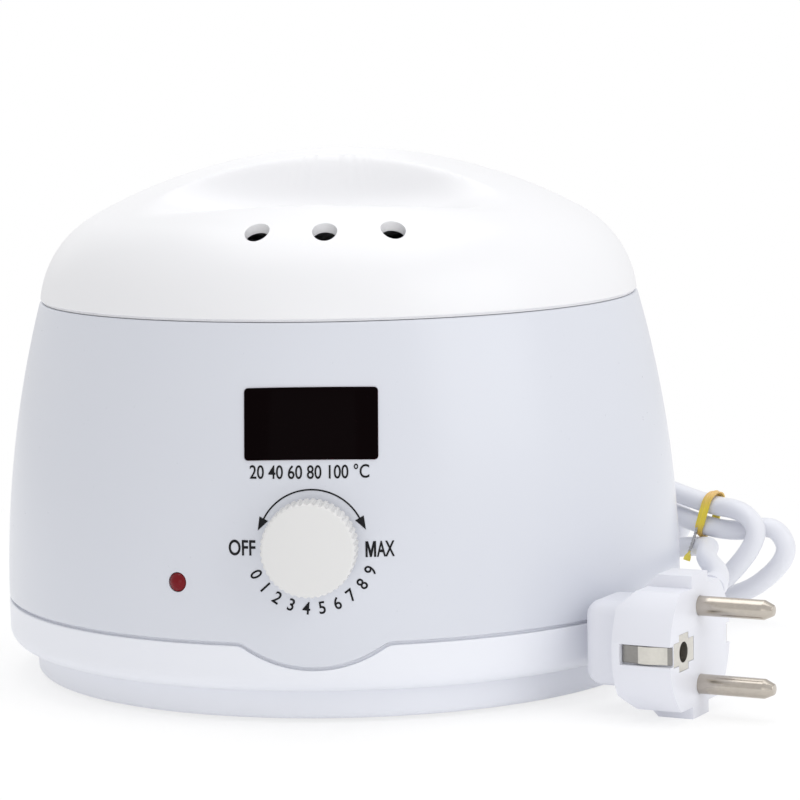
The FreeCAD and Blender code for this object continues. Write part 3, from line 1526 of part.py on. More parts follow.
def make_plug():
    disc = cylinder(
        "plug_disc",
        "plug_radius",
        "plug_front_length",
        ("-plug_front_length", "0", "0"),
        ALONG_RIGHT,
        PLUG_FRAME,
    )
    slab = box(
        "plug_slab",
        ("plug_front_length", "plug_radius * 2", "plug_flat * 2"),
        ("-plug_front_length", "-plug_radius", "-plug_flat"),
        PLUG_FRAME,
    )
    key = box(
        "plug_key",
        ("plug_front_length", "plug_key_width", "plug_key_reach * 2"),
        ("-plug_front_length", "-plug_key_width / 2", "-plug_key_reach"),
        PLUG_FRAME,
    )
    profile = joined(
        "plug_profile",
        sloped_rear("plug_slab_sloped", slab, "plug_rear_slope"),
        sloped_rear("plug_key_sloped", key, "plug_key_slope"),
    )
    front = shared("plug_front", disc, profile)
    back_box = box(
        "plug_back_box",
        ("plug_back_length + plug_back_round", "plug_back_width", "plug_back_height"),
        ("-plug_front_length - plug_back_length", "-plug_back_width / 2", "-plug_back_height / 2"),
        PLUG_FRAME,
    )
    back = doc.addObject("Part::Fillet", "plug_back")
    back.Base = back_box
    doc.recompute()
    rear = PLUG_FRAME.multVec(Vector(-value("plug_front_length + plug_back_length"), 0, 0))
    outward = PLUG_TURN.multVec(Vector(1, 0, 0))
    soft = [
        index
        for index, edge in enumerate(back_box.Shape.Edges, 1)
        if (edge.CenterOfMass - rear).dot(outward) < value("plug_back_length")
    ]
    back.Edges = [(index, value("plug_back_round"), value("plug_back_round")) for index in soft]
    relief_turn = Rotation(Vector(0, 0, 1), RELIEF_AXIS)
    relief = cone(
        "plug_relief",
        "relief_start",
        "relief_tip",
        "relief_length",
        ("-relief_place", "plug_radius - relief_inset", "relief_lift"),
        relief_turn,
        PLUG_FRAME,
    )
    slots = [
        box(f"earth_slot_{side}", ("earth_slot_length", "earth_slot_depth * 2", "earth_slot_width"),
            ("-earth_slot_length", f"{side} * plug_radius - earth_slot_depth", "-earth_slot_width / 2"),
            PLUG_FRAME)
        for side in (-1, 1)
    ]
    hole = cylinder(
        "earth_hole",
        "earth_hole_radius",
        "earth_hole_depth * 2",
        ("-earth_hole_depth", "-earth_hole_place", "0"),
        ALONG_RIGHT,
        PLUG_FRAME,
    )
    roots = [
        cylinder(f"pin_socket_{side}", "pin_root_radius + thread_gap", "pin_root * 2",
                 ("-pin_root - contact_gap", "0", f"{side} * pin_spacing / 2"), ALONG_RIGHT, PLUG_FRAME)
        for side in (-1, 1)
    ]
    recess_floor = "-earth_plate_thickness - contact_gap"
    recess = earth_plate("earth_recess", "fit_gap", "earth_plate_thickness * 2", recess_floor)
    grip = joined("plug_grip", front, back, relief)
    node(cut("plug_cut", grip, *slots, hole, *recess, *roots), "plug_body")

    pins = []
    for side in (-1, 1):
        centre = f"{side} * pin_spacing / 2"
        root = cylinder(f"pin_root_{side}", "pin_root_radius", "pin_root + pin_radius",
                        ("-pin_root", "0", centre), ALONG_RIGHT, PLUG_FRAME)
        rod = cylinder(f"pin_rod_{side}", "pin_radius", "pin_length - pin_tip - contact_gap",
                       ("contact_gap", "0", centre), ALONG_RIGHT, PLUG_FRAME)
        tip = cone(f"pin_tip_{side}", "pin_radius", "pin_tip_radius", "pin_tip",
                   ("pin_length - pin_tip", "0", centre), ALONG_RIGHT, PLUG_FRAME)
        pins.append(joined(f"pin_{side}", root, rod, tip))
    group = doc.addObject("Part::Compound", "pin_group")
    group.Links = pins
    node(group, "plug_pins")

    clips = [
        box(f"earth_clip_{side}", ("earth_clip_length", "earth_clip_thickness", "earth_clip_width"),
            ("-earth_slot_length + contact_gap",
             f"{side} * (plug_radius - earth_slot_depth + contact_gap + earth_clip_thickness / 2)"
             " - earth_clip_thickness / 2",
             "-earth_clip_width / 2"), PLUG_FRAME)
        for side in (-1, 1)
    ]
    group = doc.addObject("Part::Compound", "earth_clip_group")
    group.Links = clips
    node(group, "plug_earth_clips")

    sleeve_out = cylinder(
        "sleeve_out",
        "earth_hole_radius - thread_gap",
        "earth_hole_depth - contact_gap * 2",
        ("contact_gap - earth_hole_depth", "-earth_hole_place", "0"),
        ALONG_RIGHT,
        PLUG_FRAME,
    )
    sleeve_bore = cylinder(
        "sleeve_bore",
        "earth_hole_radius - earth_sleeve_wall",
        "earth_hole_depth * 2",
        ("-earth_hole_depth", "-earth_hole_place", "0"),
        ALONG_RIGHT,
        PLUG_FRAME,
    )
    plate = earth_plate("earth_plate", "0", "earth_plate_thickness - contact_gap", "-earth_plate_thickness")
    socket = joined("earth_socket_solid", sleeve_out, *plate)
    node(cut("sleeve_cut", socket, sleeve_bore), "plug_earth_socket")


def main():
    make_housing()
    make_base()
    make_fixings()
    make_bowl()
    make_band()
    make_cutout()
    make_pot()
    make_lid()
    make_thermostat()
    make_knob()
    make_display()
    make_indicator()
    make_mains_entry()
    make_wiring()
    make_tie(make_lead())
    make_plug()
    doc.recompute()
    failed = [thing.Name for thing in doc.Objects if {"Invalid", "Error"} & set(thing.State)]
    if failed:
        raise RuntimeError(f"these objects failed: {failed}")
    os.makedirs("parts", exist_ok=True)
    for thing in NODES:
        shape = thing.Shape
        if shape.isNull() or not shape.isValid() or not shape.Solids:
            raise RuntimeError(f"{thing.Label} has no valid solid")
    for thing in NODES:
        thing.Shape.exportStep(f"parts/{thing.Label}.step")
        print(thing.Label, len(thing.Shape.Solids), round(thing.Shape.Volume, 1))


main()
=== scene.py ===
# %% [markdown]
# # A wax heater on a white table
#
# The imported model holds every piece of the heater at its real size. This lesson dresses it: the
# moulded shells are spun again with soft edges, the lead becomes one smooth curve, and each surface
# gets a finish of its own. All sizes below are millimetres, and one value turns them into Blender's
# metres.

# %% Load the heater
import json
import math

import bpy
from mathutils import Matrix, Vector


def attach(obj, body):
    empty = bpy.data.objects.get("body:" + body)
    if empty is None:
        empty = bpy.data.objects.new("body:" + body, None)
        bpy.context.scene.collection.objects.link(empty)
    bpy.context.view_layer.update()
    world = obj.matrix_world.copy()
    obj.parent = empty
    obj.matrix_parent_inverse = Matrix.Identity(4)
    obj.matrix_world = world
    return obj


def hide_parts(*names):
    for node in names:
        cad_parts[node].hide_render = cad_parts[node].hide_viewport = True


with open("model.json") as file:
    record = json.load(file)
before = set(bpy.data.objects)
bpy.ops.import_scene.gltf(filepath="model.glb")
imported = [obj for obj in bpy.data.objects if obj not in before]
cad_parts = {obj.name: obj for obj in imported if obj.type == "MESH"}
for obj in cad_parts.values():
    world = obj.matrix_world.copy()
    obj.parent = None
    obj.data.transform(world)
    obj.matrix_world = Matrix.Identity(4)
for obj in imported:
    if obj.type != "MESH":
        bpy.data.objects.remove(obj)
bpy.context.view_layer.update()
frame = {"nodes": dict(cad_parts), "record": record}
nodes = frame["nodes"]
MM = 0.001

# %% [markdown]
# ## Small tools
#
# An operator acts on all that is selected, so each step first clears the selection and picks one
# piece. A turned piece starts as a ring of points, which is moved onto the outline and then spun
# about the axis.

# %% Picking and adding
MERGE_WITHIN = 1e-6


def pick(piece):
    """Select one piece alone and make it the active one."""
    bpy.ops.object.select_all(action="DESELECT")
    piece.select_set(True)
    bpy.context.view_layer.objects.active = piece
    return piece


def added(name):
    """Name the object that an operator has just added."""
    piece = bpy.context.object
    piece.name = name
    piece.data.name = name
    return piece


def make(operator, name, **settings):
    """Add an object while nothing else is selected, and name it."""
    bpy.ops.object.select_all(action="DESELECT")
    operator(**settings)
    return added(name)


def open_edit(piece):
    """Enter edit mode with all of a piece selected."""
    pick(piece)
    bpy.ops.object.mode_set(mode="EDIT")
    bpy.ops.mesh.select_all(action="SELECT")


def close_edit():
    """Return to object mode."""
    bpy.ops.object.mode_set(mode="OBJECT")


def clean(piece):
    """Merge doubled points and turn the faces outwards."""
    open_edit(piece)
    bpy.ops.mesh.remove_doubles(threshold=MERGE_WITHIN)
    bpy.ops.mesh.delete_loose(use_verts=True, use_edges=True, use_faces=False)
    bpy.ops.mesh.select_all(action="SELECT")
    bpy.ops.mesh.normals_make_consistent(inside=False)
    close_edit()
    return piece


def apply(piece, kind, **settings):
    """Add a modifier with its settings and apply it."""
    modifier = piece.modifiers.new(kind.lower(), kind)
    for setting, value in settings.items():
        setattr(modifier, setting, value)
    pick(piece)
    bpy.ops.object.modifier_apply(modifier=modifier.name)
    return piece


def spot(x, y, z):
    """A place in the heater's frame, from millimetres."""
    return Matrix.Translation((x * MM, y * MM, z * MM))


def turned(degrees, axis):
    """A turn about one of the frame's axes."""
    return Matrix.Rotation(math.radians(degrees), 4, axis)


print("points closer than", MERGE_WITHIN / MM, "mm are merged")


# %% Outlines and simple solids
def soften(corners, steps=5):
    """Turn each (x, y, round) corner of an outline into a small arc, and keep plain (x, y) points."""
    points = []
    for index, corner in enumerate(corners):
        place = Vector(corner[:2])
        if len(corner) == 2:
            points.append(tuple(place))
            continue
        before = (Vector(corners[index - 1][:2]) - place).normalized()
        after = (Vector(corners[(index + 1) % len(corners)][:2]) - place).normalized()
        half = before.angle(after) / 2
        centre = place + (before + after).normalized() * corner[2] / math.sin(half)
        start = place + before * corner[2] / math.tan(half) - centre
        end = place + after * corner[2] / math.tan(half) - centre
        for step in range(steps + 1):
            points.append(tuple(centre + start.slerp(end, step / steps).normalized() * corner[2]))
    return points


def sweep(centre, radius, first, last, steps):
    """Points along an arc, from one angle to another in degrees."""
    points = []
    for step in range(steps + 1):
        angle = math.radians(first + (last - first) * step / steps)
        points.append((centre[0] + radius * math.cos(angle), centre[1] + radius * math.sin(angle)))
    return points


def ring_of_points(name, outline):
    """A closed ring of edges through (x, y) points, drawn upright in the XZ plane."""
    piece = make(bpy.ops.mesh.primitive_circle_add, name, vertices=len(outline), radius=MM)
    for vertex, (across, up) in zip(piece.data.vertices, outline):
        vertex.co = (across * MM, 0, up * MM)
    return piece


def spun(name, outline, steps):
    """Spin an outline of (radius, height) points about the upright axis."""
    piece = ring_of_points(name, outline)
    turn = {"axis": "Z", "angle": 2 * math.pi, "steps": steps, "render_steps": steps}
    apply(piece, "SCREW", use_merge_vertices=True, merge_threshold=MERGE_WITHIN, **turn)
    return clean(piece)


def drawn_out(name, outline, length, place):
    """A flat outline drawn out along the place's Z axis, from its origin."""
    piece = ring_of_points(name, outline)
    piece.data.transform(turned(-90, "X"))
    open_edit(piece)
    bpy.ops.mesh.edge_face_add()
    bpy.ops.mesh.extrude_region_move(TRANSFORM_OT_translate={"value": (0, 0, length * MM)})
    close_edit()
    piece.data.transform(place)
    return clean(piece)


def rod(name, radius, length, place, sides=48):
    """A cylinder along the place's Z axis, from its origin."""
    size = {"radius": radius * MM, "depth": length * MM}
    piece = make(bpy.ops.mesh.primitive_cylinder_add, name, vertices=sides, **size)
    piece.data.transform(place @ Matrix.Translation((0, 0, length * MM / 2)))
    return piece


def block(name, size, place, cuts=0):
    """A box with its middle at the place's origin, divided finely where it is to be bent."""
    piece = make(bpy.ops.mesh.primitive_cube_add, name, size=1)
    piece.data.transform(place @ Matrix.Diagonal((*[side * MM for side in size], 1)))
    if cuts:
        open_edit(piece)
        bpy.ops.mesh.subdivide(number_cuts=cuts)
        close_edit()
    return piece


ROUND_STEPS = 480
print("a full turn of a large shell takes", ROUND_STEPS, "steps")


# %% Joining and finishing pieces
def combined(piece, operation, *others):
    """Apply a boolean with each of the other solids in turn, and delete them."""
    for other in others:
        apply(piece, "BOOLEAN", operation=operation, solver="MANIFOLD", object=other)
        bpy.data.objects.remove(other)
    return piece


def joined(name, *parts):
    """Join several meshes into one piece."""
    pick(parts[0])
    for part in parts[1:]:
        part.select_set(True)
    bpy.ops.object.join()
    return added(name)


def rounded_edges(piece, width, steps=3, angle=40):
    """Round the edges that are sharper than an angle."""
    limit = {"limit_method": "ANGLE", "angle_limit": math.radians(angle)}
    return apply(piece, "BEVEL", width=width * MM, segments=steps, **limit)


def smooth(piece, angle=35):
    """Shade a piece smooth, apart from its sharp edges."""
    pick(piece)
    bpy.ops.object.shade_smooth_by_angle(angle=math.radians(angle))
    return piece


settled = []


def settle(piece, body, slot, *replaced):
    """Let a finished piece ride on a body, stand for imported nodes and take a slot's finish."""
    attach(piece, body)
    if replaced:
        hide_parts(*replaced)
    settled.append((piece, slot))


print("tools are ready")

# %% [markdown]
# ## The camera
#
# The photograph was taken with a long lens from a little above the lid, just right of the front. Its
# place comes from the heater's own seams, which are circles of known size at known heights. The
# picture leans a little, so the camera is rolled by the same angle.

# %% Place the camera
PICTURE_WIDTH = 800
FOCAL_PIXELS = 3463.4
CAMERA_DISTANCE = 896.3
CAMERA_HEIGHT = 175.3
CAMERA_OFFSET = 15.277
CAMERA_YAW = math.radians(4.2)
CAMERA_PITCH = math.radians(6.815)
CAMERA_ROLL = math.radians(1.166)

camera = make(bpy.ops.object.camera_add, "camera")
camera.data.sensor_width = 36
camera.data.lens = FOCAL_PIXELS / PICTURE_WIDTH * camera.data.sensor_width
camera.data.clip_start = 0.05
camera.data.clip_end = 20
aim = Matrix.Rotation(math.pi / 2 - CAMERA_PITCH, 4, "X") @ Matrix.Rotation(-CAMERA_ROLL, 4, "Z")
turn = Matrix.Rotation(CAMERA_YAW, 4, "Z")
camera.matrix_world = turn @ spot(CAMERA_OFFSET, -CAMERA_DISTANCE, CAMERA_HEIGHT) @ aim
bpy.context.scene.camera = camera
camera_place = [round(value / MM) for value in camera.matrix_world.translation]
print("lens", round(camera.data.lens, 1), "mm, at", camera_place)

# %% [markdown]
# ## The curved wall
#
# The heater's wall is one moulding that narrows towards the lid on a very large arc. It could be
# lofted or bent from a sheet, but it is round, so its section is drawn once and spun. Below the knob
# the lower edge hangs down in a rounded tongue. The spun edge is dense enough that its points are
# simply moved down there by a formula.

# %% Spin the wall
BODY_RADIUS = 87.5
BASE_TOP = 20.0
WALL_FOOT = 20.8
WALL_TOP = 96.3
SIDE_ARC = 285.0
WALL = 2.8
RIM_WALL = 2.6
LEDGE_TOP = 88.3
LEDGE_UNDER = 85.3
LEDGE_WIDTH = 8.2
SEAM_ROUND = 0.35
RIM_ROUND = 0.6
INNER_ROUND = 0.5
LEDGE_ROUND = 0.8
LIP_ROUND = 0.3


def wall_radius(height, inset=0.0):
    """The wall's radius at a height, or that of a line inside it."""
    return BODY_RADIUS - SIDE_ARC + math.sqrt((SIDE_ARC - inset) ** 2 - (height - WALL_FOOT) ** 2)


def wall_points(first, last, inset, steps):
    """Points up or down the wall between two heights, without the two ends."""
    heights = [first + (last - first) * step / steps for step in range(1, steps)]
    return [(wall_radius(height, inset), height) for height in heights]


rim_radius = wall_radius(WALL_TOP)
rim_inside = rim_radius - RIM_WALL
ledge_inside = rim_inside - LEDGE_WIDTH
wall_section = [
    (BODY_RADIUS, WALL_FOOT, SEAM_ROUND),
    *wall_points(WALL_FOOT, WALL_TOP, 0.0, 44),
    (rim_radius, WALL_TOP, RIM_ROUND),
    (rim_inside, WALL_TOP, INNER_ROUND),
    (rim_inside, LEDGE_TOP, LEDGE_ROUND),
    (ledge_inside, LEDGE_TOP, INNER_ROUND),
    (ledge_inside, LEDGE_UNDER, INNER_ROUND),
    (wall_radius(LEDGE_UNDER, WALL), LEDGE_UNDER),
    *wall_points(LEDGE_UNDER, WALL_FOOT, WALL, 24),
    (BODY_RADIUS - WALL, WALL_FOOT, LIP_ROUND),
]
wall = spun("body_wall", soften(wall_section), ROUND_STEPS)
print("the wall has", len(wall.data.polygons), "faces and a rim of", round(rim_radius * 2, 1), "mm")

# %% Hang the tongue below the knob
KNOB_HEIGHT = 44.5
TONGUE_RADIUS = 29.5
TONGUE_SHOULDER = 0.4
TONGUE_EDGE = 1.0
TONGUE_FADE = 16.0


def ease(value):
    """A smooth step from 0 to 1."""
    value = min(max(value, 0.0), 1.0)
    return value * value * (3 - 2 * value)


def tongue_drop(x, radius, edge):
    """How far a level edge hangs down at x where a disc about the knob's axis reaches below it."""
    reach = math.sqrt(max(radius**2 - x**2, 0.0)) - (KNOB_HEIGHT - edge)
    return (reach + math.sqrt(reach**2 + TONGUE_SHOULDER**2)) / 2


for vertex in wall.data.vertices:
    x, y, z = vertex.co / MM
    if y > 0 or abs(x) > TONGUE_RADIUS or z > WALL_FOOT + TONGUE_FADE:
        continue
    share = 1 - ease((z - WALL_FOOT - TONGUE_EDGE) / TONGUE_FADE)
    lowered = z - tongue_drop(x, TONGUE_RADIUS, WALL_FOOT) * share
    growth = wall_radius(max(lowered, WALL_FOOT)) / wall_radius(z)
    vertex.co = Vector((x * growth, y * growth, lowered)) * MM
tongue_foot = min(vertex.co.z for vertex in wall.data.vertices)
print("the tongue reaches down to", round(tongue_foot / MM, 1), "mm")

# %% [markdown]
# The wall has three openings at the front: one for the window, one for the thermostat's bush with a
# flat seat round it, and one for the lamp. Each is cut square to the wall, so a place on the wall
# with its own axes is worked out first: X to the right, Y up the wall and Z straight out of it.


# %% Cut the openings
def wall_place(height, angle=0.0, upright=False):
    """The place on the wall at a height and an angle round from the front."""
    lean = 0.0 if upright else math.asin((height - WALL_FOOT) / SIDE_ARC)
    level_out = Vector((math.sin(angle), -math.cos(angle), 0))
    across = Vector((math.cos(angle), math.sin(angle), 0))
    out = level_out * math.cos(lean) + Vector((0, 0, math.sin(lean)))
    up = out.cross(across)
    centre = level_out * wall_radius(height) + Vector((0, 0, height))
    place = Matrix((across, up, out)).transposed().to_4x4()
    place.translation = centre * MM
    return place


def rounded_rectangle(width, height, corner):
    """The outline of an upright rectangle with rounded corners."""
    signs = ((1, 1), (-1, 1), (-1, -1), (1, -1))
    return soften([(across * width / 2, up * height / 2, corner) for across, up in signs], steps=4)


WINDOW_WIDTH = 32.0
WINDOW_TALL = 17.3
WINDOW_CORNER = 0.9
WINDOW_HEIGHT = 72.9
WINDOW_PLACE = wall_place(WINDOW_HEIGHT)
KNOB_PLACE = wall_place(KNOB_HEIGHT, upright=True)
LAMP_HEIGHT = 34.7
LAMP_ANGLE = math.radians(-22.3)
LAMP_PLACE = wall_place(LAMP_HEIGHT, LAMP_ANGLE)
LAMP_RADIUS = 2.3
SEAT_RADIUS = 9.2
SEAT_DEPTH = 0.7
BUSH_RADIUS = 4.7
FIT_GAP = 0.1
CUT_LENGTH = 20
through_wall = spot(0, 0, -CUT_LENGTH / 2)
window_outline = rounded_rectangle(WINDOW_WIDTH, WINDOW_TALL, WINDOW_CORNER)
combined(
    wall,
    "DIFFERENCE",
    drawn_out("window_cutter", window_outline, CUT_LENGTH, WINDOW_PLACE @ through_wall),
    rod("seat_cutter", SEAT_RADIUS, 6, KNOB_PLACE @ spot(0, 0, -SEAT_DEPTH), 96),
    rod("bush_cutter", BUSH_RADIUS, CUT_LENGTH, KNOB_PLACE @ through_wall, 64),
    rod("lamp_cutter", LAMP_RADIUS + FIT_GAP, CUT_LENGTH, LAMP_PLACE @ through_wall),
)
smooth(wall)
settle(wall, "housing", "body_white", "housing")
print("after cutting, the wall has", len(wall.data.polygons), "faces")

# %% [markdown]
# ## The base
#
# The base closes the heater from below: a plinth with a rounded step out to a ring as wide as the
# wall, and a lip that laps inside the wall. It is spun too. Its ring dips at the front, a seam's
# width below the tongue, and a small step behind the seam keeps it shallow. Four screws sink into its
# underside and four rubber feet sit in pockets.

# %% Spin the base and dip its ring
PLINTH_FOOT = 1.0
PLINTH_TOP = 8.5
PLINTH_RADIUS = 80.5
PLINTH_ROUND = 1.5
RING_ROUND = 4.5
LAP_PLAY = 0.5
LAP_WALL = 2.0
LIP_OUTSIDE = BODY_RADIUS - WALL - LAP_PLAY
LIP_INSIDE = LIP_OUTSIDE - LAP_WALL
LIP_TOP = BASE_TOP + 3.2
BASE_WALL = 2.5
SEAM_DEPTH = 1.2
STEP_GAP = 0.15
ring_foot = PLINTH_TOP + RING_ROUND
step_top = WALL_FOOT - STEP_GAP
base_section = [
    (0, PLINTH_FOOT),
    (PLINTH_RADIUS, PLINTH_FOOT, PLINTH_ROUND),
    (PLINTH_RADIUS, PLINTH_TOP, 0.6),
    (BODY_RADIUS, PLINTH_TOP, RING_ROUND),
    *[(BODY_RADIUS, ring_foot + rise) for rise in (1.5, 3.0, 4.5, 5.8)],
    (BODY_RADIUS, BASE_TOP, SEAM_ROUND),
    (BODY_RADIUS - SEAM_DEPTH, BASE_TOP),
    (BODY_RADIUS - SEAM_DEPTH, step_top),
    (LIP_OUTSIDE, step_top),
    (LIP_OUTSIDE, LIP_TOP, LIP_ROUND),
    (LIP_INSIDE, LIP_TOP, LIP_ROUND),
    (LIP_INSIDE, PLINTH_TOP + BASE_WALL),
    (PLINTH_RADIUS - BASE_WALL, PLINTH_TOP + BASE_WALL),
    (PLINTH_RADIUS - BASE_WALL, PLINTH_FOOT + BASE_WALL),
    (0, PLINTH_FOOT + BASE_WALL),
]
base = spun("base_tray", soften(base_section, steps=7), ROUND_STEPS)
for vertex in base.data.vertices:
    x, y, z = vertex.co / MM
    on_ring = math.hypot(x, y) > LIP_OUTSIDE - 0.05 and ring_foot < z < WALL_FOOT
    if on_ring and y < 0 and abs(x) < TONGUE_RADIUS:
        share = min(1.0, (z - ring_foot) / (BASE_TOP - ring_foot))
        level = max(z, BASE_TOP)
        vertex.co.z = (z - tongue_drop(x, TONGUE_RADIUS + WALL_FOOT - level, level) * share) * MM
print("the base has", len(base.data.polygons), "faces before its holes are cut")

# %% Sink the holes for screws and feet
FOOT_CIRCLE = 68.0
FOOT_POCKET = (7.1, 2.5)
SCREW_CIRCLE = 72.5
SCREW_SINK = (3.2, 5.0)
cutters = []
for quarter in range(4):
    cutters.append(rod("pocket", *FOOT_POCKET, turned(90 * quarter, "Z") @ spot(FOOT_CIRCLE, 0, 0)))
    cutters.append(rod("sink", *SCREW_SINK, turned(90 * quarter + 45, "Z") @ spot(SCREW_CIRCLE, 0, 0)))
combined(base, "DIFFERENCE", joined("base_cutters", *cutters))
smooth(base)
settle(base, "housing", "base_white", "base")
print("the base has", len(base.data.polygons), "faces")

# %% [markdown]
# ## The lid
#
# The lid is a dome with a hand scoop on each side of a grip ridge. A boolean cut would leave hard
# edges, and the real moulding flows, so the dome is spun densely and its points are lowered onto each
# scoop's spindle with a smooth minimum. The inner skin follows the same scoops, one wall lower. A
# small step under the edge keeps this seam shallow too.

# %% Spin the dome
LID_FOOT = 96.9
LID_TOP = LID_FOOT + 37.3
LID_CORNER = 27.0
LID_WALL = 2.0
LID_SEAM_DEPTH = 0.8
SKIRT_FOOT = LID_FOOT - 4.3
SKIRT_ROUND = 0.4
corner_x = rim_radius - LID_CORNER
corner_z = LID_FOOT - 2.8
corner_high = LID_TOP - corner_z
crown_radius = (corner_x**2 + corner_high**2 - LID_CORNER**2) / (2 * (corner_high - LID_CORNER))
crown_z = LID_TOP - crown_radius
crown_angle = math.degrees(math.atan2(corner_z - crown_z, corner_x))


def dome_line(inset, foot, crown_steps, corner_steps):
    """The dome's section from its top down to a height, moved in by an inset."""
    foot_angle = math.degrees(math.asin((foot - corner_z) / (LID_CORNER - inset)))
    crown = sweep((0, crown_z), crown_radius - inset, 90, crown_angle, crown_steps)
    corner = sweep((corner_x, corner_z), LID_CORNER - inset, crown_angle, foot_angle, corner_steps)
    return [*crown, *corner[1:]]


skirt_outside = rim_inside - LAP_PLAY
skirt_inside = skirt_outside - LAP_WALL
outer_line = dome_line(0.0, LID_FOOT, 64, 34)
inner_line = dome_line(LID_WALL, LID_FOOT + LID_WALL, 40, 18)
lid_section = [
    *outer_line[:-1],
    (*outer_line[-1], INNER_ROUND),
    (rim_radius - LID_SEAM_DEPTH, LID_FOOT),
    (rim_radius - LID_SEAM_DEPTH, WALL_TOP + STEP_GAP),
    (skirt_outside, WALL_TOP + STEP_GAP),
    (skirt_outside, SKIRT_FOOT, SKIRT_ROUND),
    (skirt_inside, SKIRT_FOOT, SKIRT_ROUND),
    (skirt_inside, LID_FOOT + LID_WALL),
    *reversed(inner_line),
]
lid = spun("lid_dome", soften(lid_section), steps=360)
print("the crown's arc is", round(crown_radius, 1), "mm")

# %% Hollow the scoops
SCOOP_OFFSET = 36.0
SCOOP_RADIUS = 18.0
SCOOP_ARC = 115.0
SCOOP_LEVEL = LID_TOP - 1.6
SCOOP_BLEND = 5.0
SCOOP_SIDE_SLOPE = 3.0
STILL_EDGE = 3.0


def scoop_floor(x, y, grow):
    """Height of the scoop's spindle below its axis, rising steeply past its sides."""
    arc = SCOOP_ARC + grow
    half = SCOOP_RADIUS + grow - arc + math.sqrt(max(arc**2 - x**2, 0.0))
    side = abs(abs(y) - SCOOP_OFFSET)
    if half <= 0 or side >= half:
        return SCOOP_LEVEL + SCOOP_SIDE_SLOPE * (side - half)
    return SCOOP_LEVEL - math.sqrt(half**2 - side**2)


def lowest(first, second, blend):
    """The lower of two heights, rounded off where they cross."""
    share = min(max(0.5 + 0.5 * (second - first) / blend, 0.0), 1.0)
    return second + (first - second) * share - blend * share * (1 - share)


upper_skin = [vertex.normal.z > 0 for vertex in lid.data.vertices]
lowered = []
for vertex, outside in zip(lid.data.vertices, upper_skin):
    x, y, z = vertex.co / MM
    if z < LID_FOOT + STILL_EDGE:
        continue
    height = lowest(z, scoop_floor(x, y, 0.0 if outside else LID_WALL), SCOOP_BLEND)
    if height < z - 0.01:
        lowered.append(vertex.index)
    vertex.co.z = height * MM
near_scoops = lid.vertex_groups.new(name="near_scoops")
near_scoops.add(lowered, 1.0, "REPLACE")
apply(lid, "SMOOTH", factor=0.5, iterations=8, vertex_group="near_scoops")
print(len(lowered), "points of the lid lie in or beside the scoops")

# %% [markdown]
# Three round vents let the steam out above the window. They are drilled straight down, so they look
# oval from the front, with the wall's thickness showing on their far side.

# %% Drill the vents
VENT_CIRCLE = rim_radius - 13.0
VENT_RADIUS = 3.05
VENT_ANGLE = math.radians(14.8)
VENT_TURN = math.radians(2.4)
DRILL_FOOT = 101
DRILL_LENGTH = 40
vents = []
for step in (-1, 0, 1):
    angle = step * VENT_ANGLE + VENT_TURN
    place = spot(VENT_CIRCLE * math.sin(angle), -VENT_CIRCLE * math.cos(angle), DRILL_FOOT)
    vents.append(rod("vent", VENT_RADIUS, DRILL_LENGTH, place, 64))
combined(lid, "DIFFERENCE", joined("vent_cutters", *vents))
smooth(lid)
settle(lid, "lid", "lid_white", "lid")
print("the lid ends with", len(lid.data.polygons), "faces")

# %% [markdown]
# ## The knob
#
# A small white knob with a slightly domed face and 44 grip grooves. Its section is spun about its own
# axis, and the points that fall inside a groove's circle are moved onto it, which keeps the face's
# edge scalloped.

# %% Spin the knob and press its grooves
KNOB_RADIUS = 11.3
KNOB_DEPTH = 9.8
KNOB_CROWN = 0.8
KNOB_ROUND = 1.0
KNOB_GAP = 1.3
KNOB_TEETH = 44
GROOVE_RADIUS = 0.42
HOLLOW_RADIUS = 9.4
HOLLOW_DEPTH = 3.4
BORE_RADIUS = 3.05
BORE_DEPTH = 8.4
face_radius = KNOB_RADIUS - KNOB_ROUND
crown_arc = (face_radius**2 + KNOB_CROWN**2) / (2 * KNOB_CROWN)
face_angle = math.degrees(math.asin(face_radius / crown_arc))
knob_section = [
    (HOLLOW_RADIUS, 0),
    (KNOB_RADIUS, 0, LIP_ROUND),
    *[(KNOB_RADIUS, rise) for rise in (2.0, 4.0, 6.0)],
    (KNOB_RADIUS, KNOB_DEPTH - KNOB_CROWN, KNOB_ROUND),
    *sweep((0, KNOB_DEPTH - crown_arc), crown_arc, 90 - face_angle, 90, 10),
    (0, BORE_DEPTH),
    (BORE_RADIUS, BORE_DEPTH),
    (BORE_RADIUS, HOLLOW_DEPTH),
    (HOLLOW_RADIUS, HOLLOW_DEPTH),
]
knob = spun("knob_cap", soften(knob_section), steps=KNOB_TEETH * 14)
pitch = 2 * math.pi / KNOB_TEETH
for vertex in knob.data.vertices:
    x, y, z = vertex.co / MM
    off_groove = (math.atan2(y, x) + pitch / 2) % pitch - pitch / 2
    across = KNOB_RADIUS * math.sin(off_groove)
    if abs(across) < GROOVE_RADIUS:
        floor = KNOB_RADIUS * math.cos(off_groove) - math.sqrt(GROOVE_RADIUS**2 - across**2)
        radius = math.hypot(x, y)
        if radius > floor:
            vertex.co = Vector((x * floor / radius, y * floor / radius, z)) * MM
knob.data.transform(KNOB_PLACE @ spot(0, 0, KNOB_GAP))
smooth(knob, 30)
settle(knob, "knob", "knob_white", "knob")
print("the knob has", KNOB_TEETH, "grooves and", len(knob.data.polygons), "faces")

# %% [markdown]
# ## The window and the lamp
#
# The window is a smoked pane that follows the wall and stands a little proud of it. A thick slab with
# the window's outline is intersected with a thin slice of the wall's own curve. Its edges are rounded
# so that they catch the light. The lamp's cover is a small dome.

